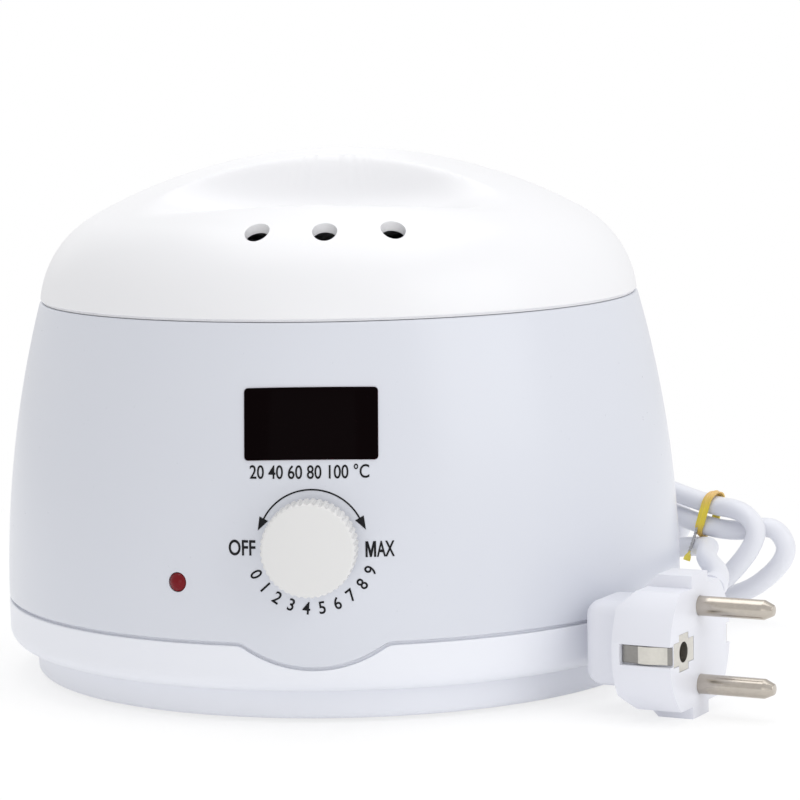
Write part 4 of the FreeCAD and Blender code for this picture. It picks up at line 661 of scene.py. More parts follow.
# %% Shape the window
WINDOW_PROUD = 0.35
PANE_DEPTH = 2.6
PANE_ROUND = 0.45
SLAB_LENGTH = 24
pane_outline = rounded_rectangle(WINDOW_WIDTH - FIT_GAP * 2, WINDOW_TALL - FIT_GAP * 2, WINDOW_CORNER)
pane = drawn_out("window_pane", pane_outline, SLAB_LENGTH, WINDOW_PLACE @ spot(0, 0, -SLAB_LENGTH / 2))
low, high = 58.0, 88.0
slice_section = [
    (wall_radius(low, -WINDOW_PROUD), low),
    *wall_points(low, high, -WINDOW_PROUD, 16),
    (wall_radius(high, -WINDOW_PROUD), high),
    (wall_radius(high, PANE_DEPTH), high),
    *wall_points(high, low, PANE_DEPTH, 16),
    (wall_radius(low, PANE_DEPTH), low),
]
clean(combined(pane, "INTERSECT", spun("wall_slice", slice_section, ROUND_STEPS)))
rounded_edges(pane, PANE_ROUND, steps=5)
smooth(pane, 50)
settle(pane, "housing", "window_black", "display_window")
print("the window has", len(pane.data.polygons), "faces")

# %% Turn the lamp's cover
LAMP_PROUD = 0.9
LAMP_DOME = 1.2
LAMP_SUNK = 4.0
lamp_arc = (LAMP_RADIUS**2 + LAMP_DOME**2) / (2 * LAMP_DOME)
lamp_angle = math.degrees(math.asin(LAMP_RADIUS / lamp_arc))
lamp_section = [
    (0, -LAMP_SUNK),
    (LAMP_RADIUS, -LAMP_SUNK),
    (LAMP_RADIUS, LAMP_PROUD - LAMP_DOME),
    *sweep((0, LAMP_PROUD - lamp_arc), lamp_arc, 90 - lamp_angle, 90, 10)[1:],
]
lamp = spun("lamp_cover", lamp_section, steps=64)
lamp.data.transform(LAMP_PLACE)
smooth(lamp, 50)
settle(lamp, "housing", "lens_red", "indicator_lens")
print("the lamp's cover stands", LAMP_PROUD, "mm out of the wall")

# %% [markdown]
# ## The mains lead
#
# The lead leaves the rear of the base through a tapered sleeve, lies down behind the heater, and is
# folded three times into a hank that a tie holds at its waist. From there it runs forwards to the
# plug. It is one curve: its control points stand where the lead bends, and a quadratic spline draws
# the smooth line between them. The hank has axes of its own, along its runs and out from the heater.

# %% Plan the hank
CORD_RADIUS = 2.7
CORD_REST = CORD_RADIUS + 0.05
HANK_ANGLE = math.radians(-40)
HANK_ALONG = Vector((math.cos(HANK_ANGLE), math.sin(HANK_ANGLE), 0))
HANK_OUT = Vector((-math.sin(HANK_ANGLE), math.cos(HANK_ANGLE), 0))
TIE_ALONG = 38.0
TAIL_OUT = 94.8
HANK_TURNS = [
    {"out": 122.0, "right": 16.0, "tip": 21.0, "rise": 8.6, "left": -30.0, "top": 31.0},
    {"out": 108.3, "right": 63.4, "tip": 19.0, "rise": 8.6, "left": -44.0, "top": 32.5,
     "sag": 25.0, "waist": (100.8, 26.2), "back": 31.0},
    {"out": 101.4, "right": 58.5, "tip": 24.6, "rise": 7.2, "left": -48.0, "top": 38.5,
     "waist": (103.2, 31.7), "back": 39.5},
]


def hank_spot(along, out, height):
    """A point of the hank from its own axes."""
    return HANK_ALONG * along + HANK_OUT * out + Vector((0, 0, height))


def hank_route():
    """Round the hank: along the table, up at the right, back over the top and down at the left."""
    route = []
    inner_runs = [*[fold["out"] for fold in HANK_TURNS[1:]], TAIL_OUT]
    for fold, inner in zip(HANK_TURNS, inner_runs):
        out, right, left = fold["out"], fold["right"], fold["left"]
        tip, top = fold["tip"], fold["top"]
        step = out - inner
        route.append(hank_spot(right - 23.0, out, CORD_REST))
        route.append(hank_spot(right, out, tip - 0.8))
        route.append(hank_spot(right - 5.0, out, tip + fold["rise"]))
        if "sag" in fold:
            sag_along = (right + TIE_ALONG) / 2 - 2.0
            route.append(hank_spot(sag_along, (out + fold["waist"][0]) / 2, fold["sag"]))
        if "waist" in fold:
            route.append(hank_spot(TIE_ALONG, *fold["waist"]))
            route.append(hank_spot(TIE_ALONG - 30.0, out, fold["back"]))
        route.append(hank_spot(left + 14.0, out, top))
        route.append(hank_spot(left, out - step * 0.35, top - 10.0))
        route.append(hank_spot(left, out - step * 0.7, CORD_REST + 10.0))
        route.append(hank_spot(left + 12.0, inner + step * 0.1, CORD_REST))
    return route


print("the hank has", len(HANK_TURNS), "turns")

# %% Draw the lead
PLUG_FACE = Vector((91.6, -73.5, 17.3))
PLUG_TURN = math.radians(-23.6)
PLUG_PLACE = spot(*PLUG_FACE) @ Matrix.Rotation(PLUG_TURN, 4, "Z")
RELIEF_RISE = math.radians(14)
RELIEF_START = Vector((-12.0, 15.5, 2.0))
RELIEF_LENGTH = 24.0
RELIEF_AXIS = Vector((0, math.cos(RELIEF_RISE), math.sin(RELIEF_RISE)))
relief_end = PLUG_PLACE @ ((RELIEF_START + RELIEF_AXIS * RELIEF_LENGTH) * MM) / MM
relief_line = PLUG_PLACE.to_3x3() @ RELIEF_AXIS
GLAND_END = Vector((0, 113.5, 14.2))
LEAD_ROUTE = [
    GLAND_END,
    Vector((0, 128.0, 14.2)),
    Vector((6.6, 140.9, 11.0)),
    Vector((18.3, 149.4, 6.4)),
    Vector((32.6, 151.7, 3.4)),
    Vector((46.4, 147.2, CORD_REST)),
    Vector((56.6, 136.9, CORD_REST)),
]
TAIL_ROUTE = [
    hank_spot(-13.0, TAIL_OUT, 7.0),
    hank_spot(-4.0, TAIL_OUT + 2.0, 9.5),
    hank_spot(12.0, 100.6, 14.6),
    hank_spot(25.0, 102.6, 18.6),
    hank_spot(40.5, 101.6, 20.8),
    Vector((95.0, 26.0, 23.8)),
    Vector((94.6, 6.5, 26.0)),
    Vector((94.2, -10.0, 27.4)),
    relief_end + relief_line * 4.5,
    relief_end,
]


def lead_curve(name, route, radius):
    """A round cord along one quadratic spline."""
    curve = bpy.data.curves.new(name, "CURVE")
    curve.dimensions = "3D"
    curve.resolution_u = 10
    curve.bevel_depth = 1
    curve.bevel_resolution = 6
    curve.use_fill_caps = True
    spline = curve.splines.new("NURBS")
    spline.points.add(len(route) - 1)
    for point, place in zip(spline.points, route):
        point.co = (*(place * MM), 1)
        point.radius = radius * MM
    spline.order_u = 3
    spline.use_endpoint_u = True
    piece = bpy.data.objects.new(name, curve)
    bpy.context.scene.collection.objects.link(piece)
    return piece


lead = lead_curve("mains_lead", [*LEAD_ROUTE, *hank_route(), *TAIL_ROUTE], CORD_RADIUS)
lead_spline = lead.data.splines[0]
lead_length = round(lead_spline.calc_length() / MM)
print("the lead has", len(lead_spline.points), "points and is", lead_length, "mm long")

# %% [markdown]
# ## The tie
#
# A paper-covered wire, flat and gold, is drawn round the two upper runs of the hank and twisted shut.
# Its path is the tightest line round the runs, so it is worked out from the lead's own curve: the
# places where the lead crosses the tie's plane, a circle round each, and the hull of those circles.
# The strip leans over the runs and narrows where it is twisted, and a low ridge shows where the wire
# is.


# %% Find the runs under the tie
def lead_line():
    """Points read from the lead's own spline, in millimetres."""
    bare = lead.data.copy()
    bare.bevel_depth = 0
    probe = bpy.data.objects.new("lead_probe", bare)
    mesh = bpy.data.meshes.new_from_object(probe)
    points = [vertex.co / MM for vertex in mesh.vertices]
    bpy.data.objects.remove(probe)
    bpy.data.meshes.remove(mesh)
    bpy.data.curves.remove(bare)
    return points


def hull(points):
    """The outer corners of flat points, counterclockwise."""
    ordered = sorted(points)
    sides = []
    for run in (ordered, ordered[::-1]):
        side = []
        for point in run:
            while len(side) > 1:
                first, second = Vector(side[-2]), Vector(side[-1])
                if (second - first).cross(Vector(point) - first) > 0:
                    break
                side.pop()
            side.append(point)
        sides += side[:-1]
    return sides


HELD_RUNS = 2
runs = []
line = lead_line()
for first, second in zip(line, line[1:]):
    before = first.dot(HANK_ALONG) - TIE_ALONG
    after = second.dot(HANK_ALONG) - TIE_ALONG
    if before * after < 0:
        crossing = first.lerp(second, before / (before - after))
        runs.append((crossing.dot(HANK_OUT), crossing.z))
runs = sorted(runs, key=lambda run: run[1])[-HELD_RUNS:]
print("the tie holds runs at heights of", [round(run[1], 1) for run in runs])

# %% Wrap the strip
TIE_WIDTH = 2.8
TIE_SLACK = 0.3
TIE_THICK = 0.42
TIE_RIDGE = 0.3
RIDGE_SHARE = 0.16
TIE_COLUMNS = 8
TIE_LEAN = 0.28
TIE_NARROWEST = 0.45
NARROW_HEIGHT = 6.0
tie_line = hull([point for run in runs for point in sweep(run, CORD_RADIUS + TIE_SLACK, 0, 360, 40)])
tie = ring_of_points("hank_tie", tie_line)
column_step = {"value": (0, -TIE_WIDTH / TIE_COLUMNS * MM, 0)}
open_edit(tie)
for column in range(TIE_COLUMNS):
    bpy.ops.mesh.extrude_region_move(TRANSFORM_OT_translate=column_step)
close_edit()
clean(tie)
apply(tie, "SOLIDIFY", thickness=TIE_THICK * MM, offset=1.0)
middle = [sum(run[axis] for run in runs) / len(runs) for axis in (0, 1)]
tie_low = min(height for _, height in tie_line)
tie_high = max(height for _, height in tie_line)
for vertex in tie.data.vertices:
    out, depth, height = vertex.co / MM
    across = -depth / TIE_WIDTH - 0.5
    away = Vector((out - middle[0], height - middle[1])).normalized()
    ridge = TIE_RIDGE * max(0.0, 1 - abs(across) / RIDGE_SHARE)
    width = TIE_WIDTH * min(1.0, TIE_NARROWEST + (height - tie_low) / NARROW_HEIGHT)
    along = TIE_ALONG + across * width + TIE_LEAN * (height - tie_low)
    vertex.co = hank_spot(along, out + away.x * ridge, height + away.y * ridge) * MM
clean(tie)
print("the strip has", len(tie.data.polygons), "faces")

# %% Twist its ends into a wire with a flag
WIRE_LENGTH = 6.8
WIRE_TURNS = 4
WIRE_WIDTH = 0.75
WIRE_ROOT = 1.5
FLAG_LENGTH = 2.8
FLAG_WIDTH = 1.9
FLAG_TURNS = 0.3
lowest_run = runs[0]
knot = hank_spot(TIE_ALONG, lowest_run[0] - CORD_RADIUS - 0.6, lowest_run[1] - 0.8)
hanging = (HANK_ALONG * -1.6 - HANK_OUT * 1.8 + Vector((0, 0, -7.0))).normalized()
aimed = spot(*knot) @ hanging.to_track_quat("Z", "Y").to_matrix().to_4x4()


def strip_along(name, width, thick, start, length, turns):
    """A flat strip along the tie's hanging end, twisted about its own line."""
    strip = block(name, (width, thick, length), spot(0, 0, start + length / 2), cuts=39)
    for vertex in strip.data.vertices:
        angle = 2 * math.pi * turns * (vertex.co.z / MM - start) / length
        vertex.co = Matrix.Rotation(angle, 3, "Z") @ vertex.co
    strip.data.transform(aimed)
    return clean(strip)


wire = strip_along("tie_wire", WIRE_WIDTH, 0.5, -WIRE_ROOT, WIRE_LENGTH + WIRE_ROOT, WIRE_TURNS)
smooth(wire, 50)
settle(wire, "housing", "band_steel")
flag = strip_along("tie_flag", FLAG_WIDTH, 0.4, WIRE_LENGTH - 0.5, FLAG_LENGTH, FLAG_TURNS)
tie = joined("hank_tie", tie, flag)
smooth(tie, 50)
settle(tie, "housing", "tie_gold", "twist_tie")
print("the tie's end hangs", WIRE_LENGTH + FLAG_LENGTH, "mm down")

# %% [markdown]
# ## The plug
#
# The plug is one soft moulding: a round front with two flats, a keyed rib on each flat, a smaller
# grip behind it and a ribbed sleeve where the lead leaves. Each of these is a simple solid, so they
# are shaped one by one, united by booleans, and their edges are rounded together afterwards. The
# slots at the sides, the hole for an earth pin and the plate's recess are cut before the rounding.

# %% Shape the plug's front and grip
PLUG_RADIUS = 18.5
PLUG_FLAT = 14.3
PLUG_FRONT = 15.0
FRONT_SLOPE = 3.6
KEY_WIDTH = 9.6
KEY_REACH = 17.3
KEY_SLOPE = 6.0
GRIP_WIDTH = 18.0
GRIP_TALL = 21.0
GRIP_LENGTH = 12.0
GRIP_SUNK = 4
GRIP_ROUND = 4.0
INTO_PLUG = turned(-90, "Y")


def sloped_slab(name, width, reach, slope):
    """A slab of the plug's front, seen from the side as a rectangle with a sloping rear."""
    outline = [
        (0, -reach),
        (0, reach),
        (slope - PLUG_FRONT, reach),
        (-PLUG_FRONT, reach - slope),
        (-PLUG_FRONT, slope - reach),
        (slope - PLUG_FRONT, -reach),
    ]
    return drawn_out(name, outline, width, spot(0, width / 2, 0) @ turned(90, "X"))


disc = rod("plug_disc", PLUG_RADIUS, PLUG_FRONT, INTO_PLUG, 160)
plug = sloped_slab("plug_slab", PLUG_RADIUS * 2 + 2, PLUG_FLAT, FRONT_SLOPE)
combined(plug, "UNION", sloped_slab("plug_key", KEY_WIDTH, KEY_REACH, KEY_SLOPE))
combined(plug, "INTERSECT", disc)
grip_place = spot(GRIP_SUNK / 2 - PLUG_FRONT - GRIP_LENGTH / 2, 0, 0)
grip = block("plug_grip", (GRIP_LENGTH + GRIP_SUNK, GRIP_WIDTH, GRIP_TALL), grip_place)
rounded_edges(grip, GRIP_ROUND, steps=6)
combined(plug, "UNION", grip)
print("the plug's front and grip have", len(plug.data.polygons), "faces")

# %% [markdown]
# The sleeve keeps the lead from kinking. On the real plug it is a cone with rings cut into it, so
# that it bends evenly. Its outline is a cone whose radius dips at each gap, and it is spun and set in
# the grip's side, rising a little towards the lead.

# %% Spin the ribbed sleeve
RELIEF_WIDE = 4.8
RELIEF_NARROW = 3.3
RELIEF_ROOT = -6.0
RELIEF_GAPS = 5
FIRST_GAP = 9.0
GAP_PITCH = 2.9
GAP_DEPTH = 0.7
GAP_LENGTH = 1.1


def relief_radius(along):
    """The plain cone's radius at a length."""
    return RELIEF_WIDE + (RELIEF_NARROW - RELIEF_WIDE) * along / RELIEF_LENGTH


sleeve_line = [(0, RELIEF_ROOT), (RELIEF_WIDE, RELIEF_ROOT)]
for gap in range(RELIEF_GAPS):
    for along, dip in ((-0.5, 0), (-0.35, 1), (0.35, 1), (0.5, 0)):
        level = FIRST_GAP + gap * GAP_PITCH + along * GAP_LENGTH
        sleeve_line.append((relief_radius(level) - dip * GAP_DEPTH, level))
sleeve_line += [(RELIEF_NARROW, RELIEF_LENGTH), (0, RELIEF_LENGTH)]
sleeve = spun("plug_sleeve", sleeve_line, steps=64)
sleeve.data.transform(spot(*RELIEF_START) @ Matrix.Rotation(RELIEF_RISE - math.pi / 2, 4, "X"))
combined(plug, "UNION", sleeve)
print("the sleeve has", RELIEF_GAPS, "gaps")

# %% Cut the slots, the earth hole and its plate's recess
EARTH_SIDE = -10.0
EARTH_HOLE = (3.1, 9.0)
PLATE_ARMS = ((12.0, 5.6), (5.6, 8.8))
PLATE_DEPTH = 0.8
PLATE_PLAY = 0.2
SLOT_LENGTH = 13.0
SLOT_WIDTH = 5.0
SLOT_DEPTH = 2.2
PIN_OFFSET = 9.5
PIN_SEAT = (2.45, 1.0)
PLUG_ROUND = 0.5
cutters = []
for side in (-1, 1):
    slot_place = spot(-SLOT_LENGTH / 2 + 1, side * PLUG_RADIUS, 0)
    cutters.append(block("slot", (SLOT_LENGTH + 2, SLOT_DEPTH * 2, SLOT_WIDTH), slot_place))
earth_place = spot(0, EARTH_SIDE, 0)
for across, up in PLATE_ARMS:
    recess = (PLATE_DEPTH * 2 + 0.1, across + PLATE_PLAY, up + PLATE_PLAY)
    cutters.append(block("recess", recess, earth_place))
cutters.append(rod("earth_hole", *EARTH_HOLE, earth_place @ INTO_PLUG))
for side in (-1, 1):
    cutters.append(rod("pin_socket", *PIN_SEAT, spot(0, 0, side * PIN_OFFSET) @ INTO_PLUG))
combined(plug, "DIFFERENCE", *cutters)
rounded_edges(plug, PLUG_ROUND, angle=38)
plug.data.transform(PLUG_PLACE)
clean(plug)
smooth(plug, 50)
plug.name = "plug_moulding"
settle(plug, "housing", "plug_white", "plug_body")
print("the plug's moulding has", len(plug.data.polygons), "faces")

# %% [markdown]
# The two pins are turned brass with nickel on it: a plain rod with a chamfered tip. The earth
# contacts are bent strips of the same metal, one in each side slot, bowed outwards in the middle.

# %% Turn the pins
PIN_RADIUS = 2.4
PIN_LENGTH = 19.0
PIN_ROOT = -0.8
PIN_TIP = 2.4
PIN_TIP_RADIUS = 1.3
pin_section = [
    (0, PIN_ROOT),
    (PIN_RADIUS, PIN_ROOT),
    (PIN_RADIUS, PIN_LENGTH - PIN_TIP, 0.5),
    (PIN_TIP_RADIUS, PIN_LENGTH, 0.35),
    (0, PIN_LENGTH),
]
pins = []
for side in (-1, 1):
    pin = spun("pin", soften(pin_section, steps=6), steps=72)
    pin.data.transform(PLUG_PLACE @ spot(0, 0, side * PIN_OFFSET) @ turned(90, "Y"))
    pins.append(pin)
pins = joined("plug_pin_pair", *pins)
smooth(pins, 40)
settle(pins, "housing", "pin_nickel", "plug_pins")
print("two pins,", PIN_LENGTH, "mm long")

# %% Bend the earth strips
STRIP_LENGTH = SLOT_LENGTH - 0.4
STRIP_WIDTH = 4.2
STRIP_THICK = 0.6
STRIP_BOW = 0.75
STRIP_FLAT = 1.4
STRIP_ROUND = 0.12


def bowed_strip(name, side):
    """A strip along a side slot, bowed outwards between its two flat ends."""
    place = spot(-SLOT_LENGTH + 0.2 + STRIP_LENGTH / 2, 0, 0)
    strip = block(name, (STRIP_LENGTH, STRIP_THICK, STRIP_WIDTH), place, cuts=23)
    seat = PLUG_RADIUS - SLOT_DEPTH + 0.05 + STRIP_THICK / 2
    for vertex in strip.data.vertices:
        share = (-vertex.co.x / MM - STRIP_FLAT) / (SLOT_LENGTH - STRIP_FLAT * 2)
        bow = STRIP_BOW * math.sin(math.pi * min(max(share, 0.0), 1.0)) ** 2
        vertex.co.y = side * (vertex.co.y / MM + seat + bow) * MM
    strip.data.transform(PLUG_PLACE)
    return clean(strip)


strips = joined("plug_earth_strips", bowed_strip("strip", -1), bowed_strip("strip", 1))
rounded_edges(strips, STRIP_ROUND, steps=2)
smooth(strips, 40)
settle(strips, "housing", "earth_steel", "plug_earth_clips")
print("two earth strips, bowed by", STRIP_BOW, "mm")

# %% [markdown]
# ## The printed scale
#
# The scale round the knob is printed on the wall in black: an arc with an arrow at each end, the
# words OFF and MAX, and plain numbers. Flat shapes are drawn first, as seen from the front, and then
# pushed onto the wall by its own formula. A thin skin gives the ink its edge. The letter M is drawn
# as an outline, because the font's own M breaks when it is made bolder.

# %% Tools for print
INK_LIFT = 0.03
INK_THICK = 0.06


def onto_wall(piece):
    """Lay a flat drawing, upright in the XZ plane, on the wall."""
    for vertex in piece.data.vertices:
        x, _, z = vertex.co / MM
        vertex.co.y = -(math.sqrt(wall_radius(z) ** 2 - x**2) + INK_LIFT) * MM
    clean(piece)
    if sum(polygon.normal.y for polygon in piece.data.polygons) > 0:
        piece.data.flip_normals()
    return apply(piece, "SOLIDIFY", thickness=INK_THICK * MM, offset=1.0)


def divided(piece, cuts, filled=True):
    """Cut a flat drawing into triangles that are small enough to follow the wall."""
    open_edit(piece)
    if not filled:
        bpy.ops.mesh.edge_face_add()
    bpy.ops.mesh.quads_convert_to_tris()
    if cuts:
        bpy.ops.mesh.subdivide(number_cuts=cuts)
    close_edit()
    return piece


def flat_shape(name, outline, cuts=0):
    """A filled outline in the XZ plane."""
    return divided(ring_of_points(name, outline), cuts, filled=False)


def printed_text(name, words, middle, tall, wide, bold, turn=0.0):
    """Letters of a height about a middle point (x, z) on the wall, turned about it."""
    text = make(bpy.ops.object.text_add, name).data
    text.body = words
    text.align_x = "CENTER"
    text.align_y = "CENTER"
    text.offset = bold
    text.resolution_u = 6
    bpy.ops.object.convert(target="MESH")
    piece = added(name)
    highs = [vertex.co.y for vertex in piece.data.vertices]
    scale = tall * MM / (max(highs) - min(highs))
    piece.data.transform(Matrix.Translation((0, -(max(highs) + min(highs)) / 2, 0)))
    piece.data.transform(Matrix.Diagonal((scale * wide, scale, 1, 1)))
    tilt = Matrix.Rotation(-turn, 4, "Y") @ turned(90, "X")
    piece.data.transform(spot(middle[0], 0, middle[1]) @ tilt)
    return divided(piece, 1)


print("ink is", INK_THICK, "mm thick")

# %% Print the arc and its arrows
ARC_RADIUS = 12.9
ARC_WIDTH = 0.38
ARC_END = 28.0
ARROW_LENGTH = 3.2
ARROW_HALF = 1.15
arc_middle = (0, KNOB_HEIGHT)
outer_arc = sweep(arc_middle, ARC_RADIUS + ARC_WIDTH / 2, ARC_END, 180 - ARC_END, 48)
inner_arc = sweep(arc_middle, ARC_RADIUS - ARC_WIDTH / 2, 180 - ARC_END, ARC_END, 48)
marks = [flat_shape("scale_arc", [*outer_arc, *inner_arc])]
angle = math.radians(ARC_END)
root = Vector((ARC_RADIUS * math.cos(angle), ARC_RADIUS * math.sin(angle)))
along = Vector((math.sin(angle), -math.cos(angle)))
out = Vector((math.cos(angle), math.sin(angle)))
corners = (root + along * ARROW_LENGTH, root + out * ARROW_HALF, root - out * ARROW_HALF)
for side in (-1, 1):
    arrow = [(side * corner.x, KNOB_HEIGHT + corner.y) for corner in corners]
    marks.append(flat_shape("arrow", arrow, cuts=3))
print("the arc spans", 180 - ARC_END * 2, "degrees")

# %% Print the words and the numbers
LETTER_TALL = 3.75
LETTER_LEFT = 12.7
LETTER_WIDTH = 2.5
LETTER_STEM = 0.52
OFF_PLACE = (-16.8, 43.6)
MAX_HEIGHT = 43.1
NUMBER_RADIUS = 15.2
NUMBER_COUNT = 10
NUMBER_START = 208
NUMBER_SPAN = 127
NUMBER_TALL = 3.0
RANGE_PLACE = (-0.4, 61.6)
RANGE_TALL = 3.4
marks.append(printed_text("word_off", "OFF", OFF_PLACE, LETTER_TALL, wide=0.74, bold=0.016))
half_letter = [(0, 0), (0, 1), (LETTER_STEM * 1.25, 1), (LETTER_WIDTH / 2, 0.42)]
half_foot = [(LETTER_WIDTH / 2 - 0.22, 0), (LETTER_STEM, 0.62), (LETTER_STEM, 0)]
mirrored = [(LETTER_WIDTH - x, z) for x, z in [*half_letter[2::-1], *half_foot[::-1]]]
letter = []
for x, z in [*half_letter, *mirrored, *half_foot]:
    letter.append((LETTER_LEFT + x, MAX_HEIGHT + (z - 0.5) * LETTER_TALL))
marks.append(flat_shape("letter_m", letter, cuts=1))
marks.append(printed_text("word_max", "AX", (17.45, MAX_HEIGHT), LETTER_TALL, wide=0.56, bold=0.018))
for number in range(NUMBER_COUNT):
    angle = math.radians(NUMBER_START + number * NUMBER_SPAN / (NUMBER_COUNT - 1))
    middle = (NUMBER_RADIUS * math.cos(angle), KNOB_HEIGHT + NUMBER_RADIUS * math.sin(angle))
    style = {"wide": 0.9, "bold": 0.012, "turn": angle + math.pi / 2}
    marks.append(printed_text("number", str(number), middle, NUMBER_TALL, **style))
marks.append(printed_text("range", "20 40 60 80 100 °C", RANGE_PLACE, RANGE_TALL, wide=0.8, bold=0.01))
for mark in marks:
    onto_wall(mark)
scale = joined("printed_scale", *marks)
settle(scale, "housing", "part_black")
print("the printed scale has", len(scale.data.polygons), "faces")

# %% [markdown]
# ## Finishes
#
# No moulded surface is perfectly even. Two effects are shared by many pieces, so each is a node group
# with its own inputs: the soft unevenness of moulded plastic, and the fine lines of rolled or brushed
# metal. Both read Object coordinates, so the pattern stays with the piece when it moves.

# %% Tools for nodes
FLOAT = "NodeSocketFloat"
COLOUR = "NodeSocketColor"
VECTOR = "NodeSocketVector"
OUTPUTS = [("Colour", COLOUR), ("Roughness", FLOAT), ("Height", FLOAT)]
PLACE = "ShaderNodeTexCoord"
NOISE = "ShaderNodeTexNoise"
MATH = "ShaderNodeMath"
MIX = "ShaderNodeMix"
RANGE = "ShaderNodeMapRange"


def feed(tree, node, feeds):
    """Give inputs of a node a plain value each, or a link from another node's output."""
    for socket, value in feeds:
        if isinstance(value, bpy.types.NodeSocket):
            tree.links.new(value, node.inputs[socket])
        else:
            node.inputs[socket].default_value = value


def add_node(tree, kind, feeds=(), **settings):
    """A new node with its settings and with what its inputs take."""
    node = tree.nodes.new(kind)
    for setting, value in settings.items():
        setattr(node, setting, value)
    feed(tree, node, feeds)
    return node


def maths(tree, operation, first, second):
    """The result of a node that works on two numbers."""
    return add_node(tree, MATH, [(0, first), (1, second)], operation=operation).outputs[0]


def new_group(name, inputs):
    """A shader node group with named sockets, the outputs of its entry, and its last node."""
    group = bpy.data.node_groups.new(name, "ShaderNodeTree")
    for socket, kind in inputs:
        group.interface.new_socket(socket, in_out="INPUT", socket_type=kind)
    for socket, kind in OUTPUTS:
        group.interface.new_socket(socket, in_out="OUTPUT", socket_type=kind)
    entry = group.nodes.new("NodeGroupInput")
    return group, entry.outputs, group.nodes.new("NodeGroupOutput")


print("an effect gives", [socket for socket, kind in OUTPUTS])


# %% Build the shared effects
def moulded_effect():
    """Slow drifts of colour and gloss with a fine orange-peel height."""
    colours = [("Colour", COLOUR), ("Shade", COLOUR)]
    numbers = [("Roughness", FLOAT), ("Drift", FLOAT), ("Peel", FLOAT)]
    group, entry, leaving = new_group("moulded_plastic", [*colours, *numbers])
    place = ("Vector", add_node(group, PLACE).outputs["Object"])
    cloud = add_node(group, NOISE, [place, ("Scale", 24.0), ("Detail", 3.0), ("Roughness", 0.55)])
    speck = add_node(group, NOISE, [place, ("Scale", 900.0), ("Detail", 2.0)])
    peel = add_node(group, NOISE, [place, ("Scale", 420.0), ("Detail", 2.0), ("Roughness", 0.4)])
    amount = maths(group, "MULTIPLY", cloud.outputs["Fac"], entry["Drift"])
    mixed = [("Factor", amount), (6, entry["Colour"]), (7, entry["Shade"])]
    tint = add_node(group, MIX, mixed, data_type="RGBA")
    specks = [("Value", speck.outputs["Fac"]), ("To Min", -0.012), ("To Max", 0.012)]
    gloss = add_node(group, RANGE, specks)
    rough = maths(group, "ADD", entry["Roughness"], gloss.outputs["Result"])
    height = maths(group, "MULTIPLY", peel.outputs["Fac"], entry["Peel"])
    feed(group, leaving, [("Colour", tint.outputs[2]), ("Roughness", rough), ("Height", height)])
    return group


def brushed_effect():
    """Fine lines drawn out along one direction, with slow patches of dullness."""
    inputs = [("Colour", COLOUR), ("Roughness", FLOAT), ("Stretch", VECTOR), ("Lines", FLOAT)]
    group, entry, leaving = new_group("brushed_metal", inputs)
    place = add_node(group, PLACE).outputs["Object"]
    along = [(0, place), (1, entry["Stretch"])]
    stretch = add_node(group, "ShaderNodeVectorMath", along, operation="MULTIPLY")
    stretched = ("Vector", stretch.outputs["Vector"])
    hairs = add_node(group, NOISE, [stretched, ("Scale", 1.0), ("Detail", 4.0), ("Roughness", 0.6)])
    patch = add_node(group, NOISE, [("Vector", place), ("Scale", 60.0), ("Detail", 3.0)])
    shade = add_node(group, RANGE, [("Value", hairs.outputs["Fac"]), ("To Min", 0.86), ("To Max", 1.08)])
    mixed = [("Factor", 1.0), (6, entry["Colour"]), (7, shade.outputs["Result"])]
    tint = add_node(group, MIX, mixed, data_type="RGBA", blend_type="MULTIPLY")
    dull = add_node(group, RANGE, [("Value", patch.outputs["Fac"]), ("To Min", -0.07), ("To Max", 0.1)])
    rough = maths(group, "ADD", entry["Roughness"], dull.outputs["Result"])
    height = maths(group, "MULTIPLY", hairs.outputs["Fac"], entry["Lines"])
    feed(group, leaving, [("Colour", tint.outputs[2]), ("Roughness", rough), ("Height", height)])
    return group


MOULDED = moulded_effect()
BRUSHED = brushed_effect()
print("shared effects:", MOULDED.name, "and", BRUSHED.name)

# %% Make a finish from an effect
PEEL_DEPTH = 0.01
LINE_DEPTH = 0.03


def finish_from(name, group, values, bump_depth, **surface):
    """A material whose colour, gloss and relief come from an effect, with plain values for the rest."""
    material = bpy.data.materials.new(name)
    material.use_nodes = True
    tree = material.node_tree
    effect = add_node(tree, "ShaderNodeGroup", node_tree=group)
    feed(tree, effect, values.items())
    relief = [("Distance", bump_depth * MM), ("Height", effect.outputs["Height"])]
    bump = add_node(tree, "ShaderNodeBump", relief)
    look = [
        ("Base Color", effect.outputs["Colour"]),
        ("Roughness", effect.outputs["Roughness"]),
        ("Normal", bump.outputs["Normal"]),
        *[(socket.replace("_", " "), value) for socket, value in surface.items()],
    ]
    feed(tree, tree.nodes["Principled BSDF"], look)
    return material


def plastic(name, colour, shade, roughness, drift=0.5, peel=0.04, **surface):
    """A moulded finish between two colours."""
    colours = {"Colour": (*colour, 1), "Shade": (*shade, 1)}
    values = {**colours, "Roughness": roughness, "Drift": drift, "Peel": peel}
    return finish_from(name, MOULDED, values, PEEL_DEPTH, **surface)


def metal(name, colour, roughness, stretch, lines=0.5, **surface):
    """A metal finish with lines along one direction."""
    values = {"Colour": (*colour, 1), "Roughness": roughness, "Stretch": stretch, "Lines": lines}
    return finish_from(name, BRUSHED, values, LINE_DEPTH, Metallic=1.0, **surface)


FLAG_REACH = 10.0
PALE_GOLD = (0.80, 0.70, 0.09)
BRIGHT_GOLD = (0.86, 0.70, 0.06)
DARK_COPPER = (0.60, 0.33, 0.10)
PALE_COPPER = (0.78, 0.48, 0.20)


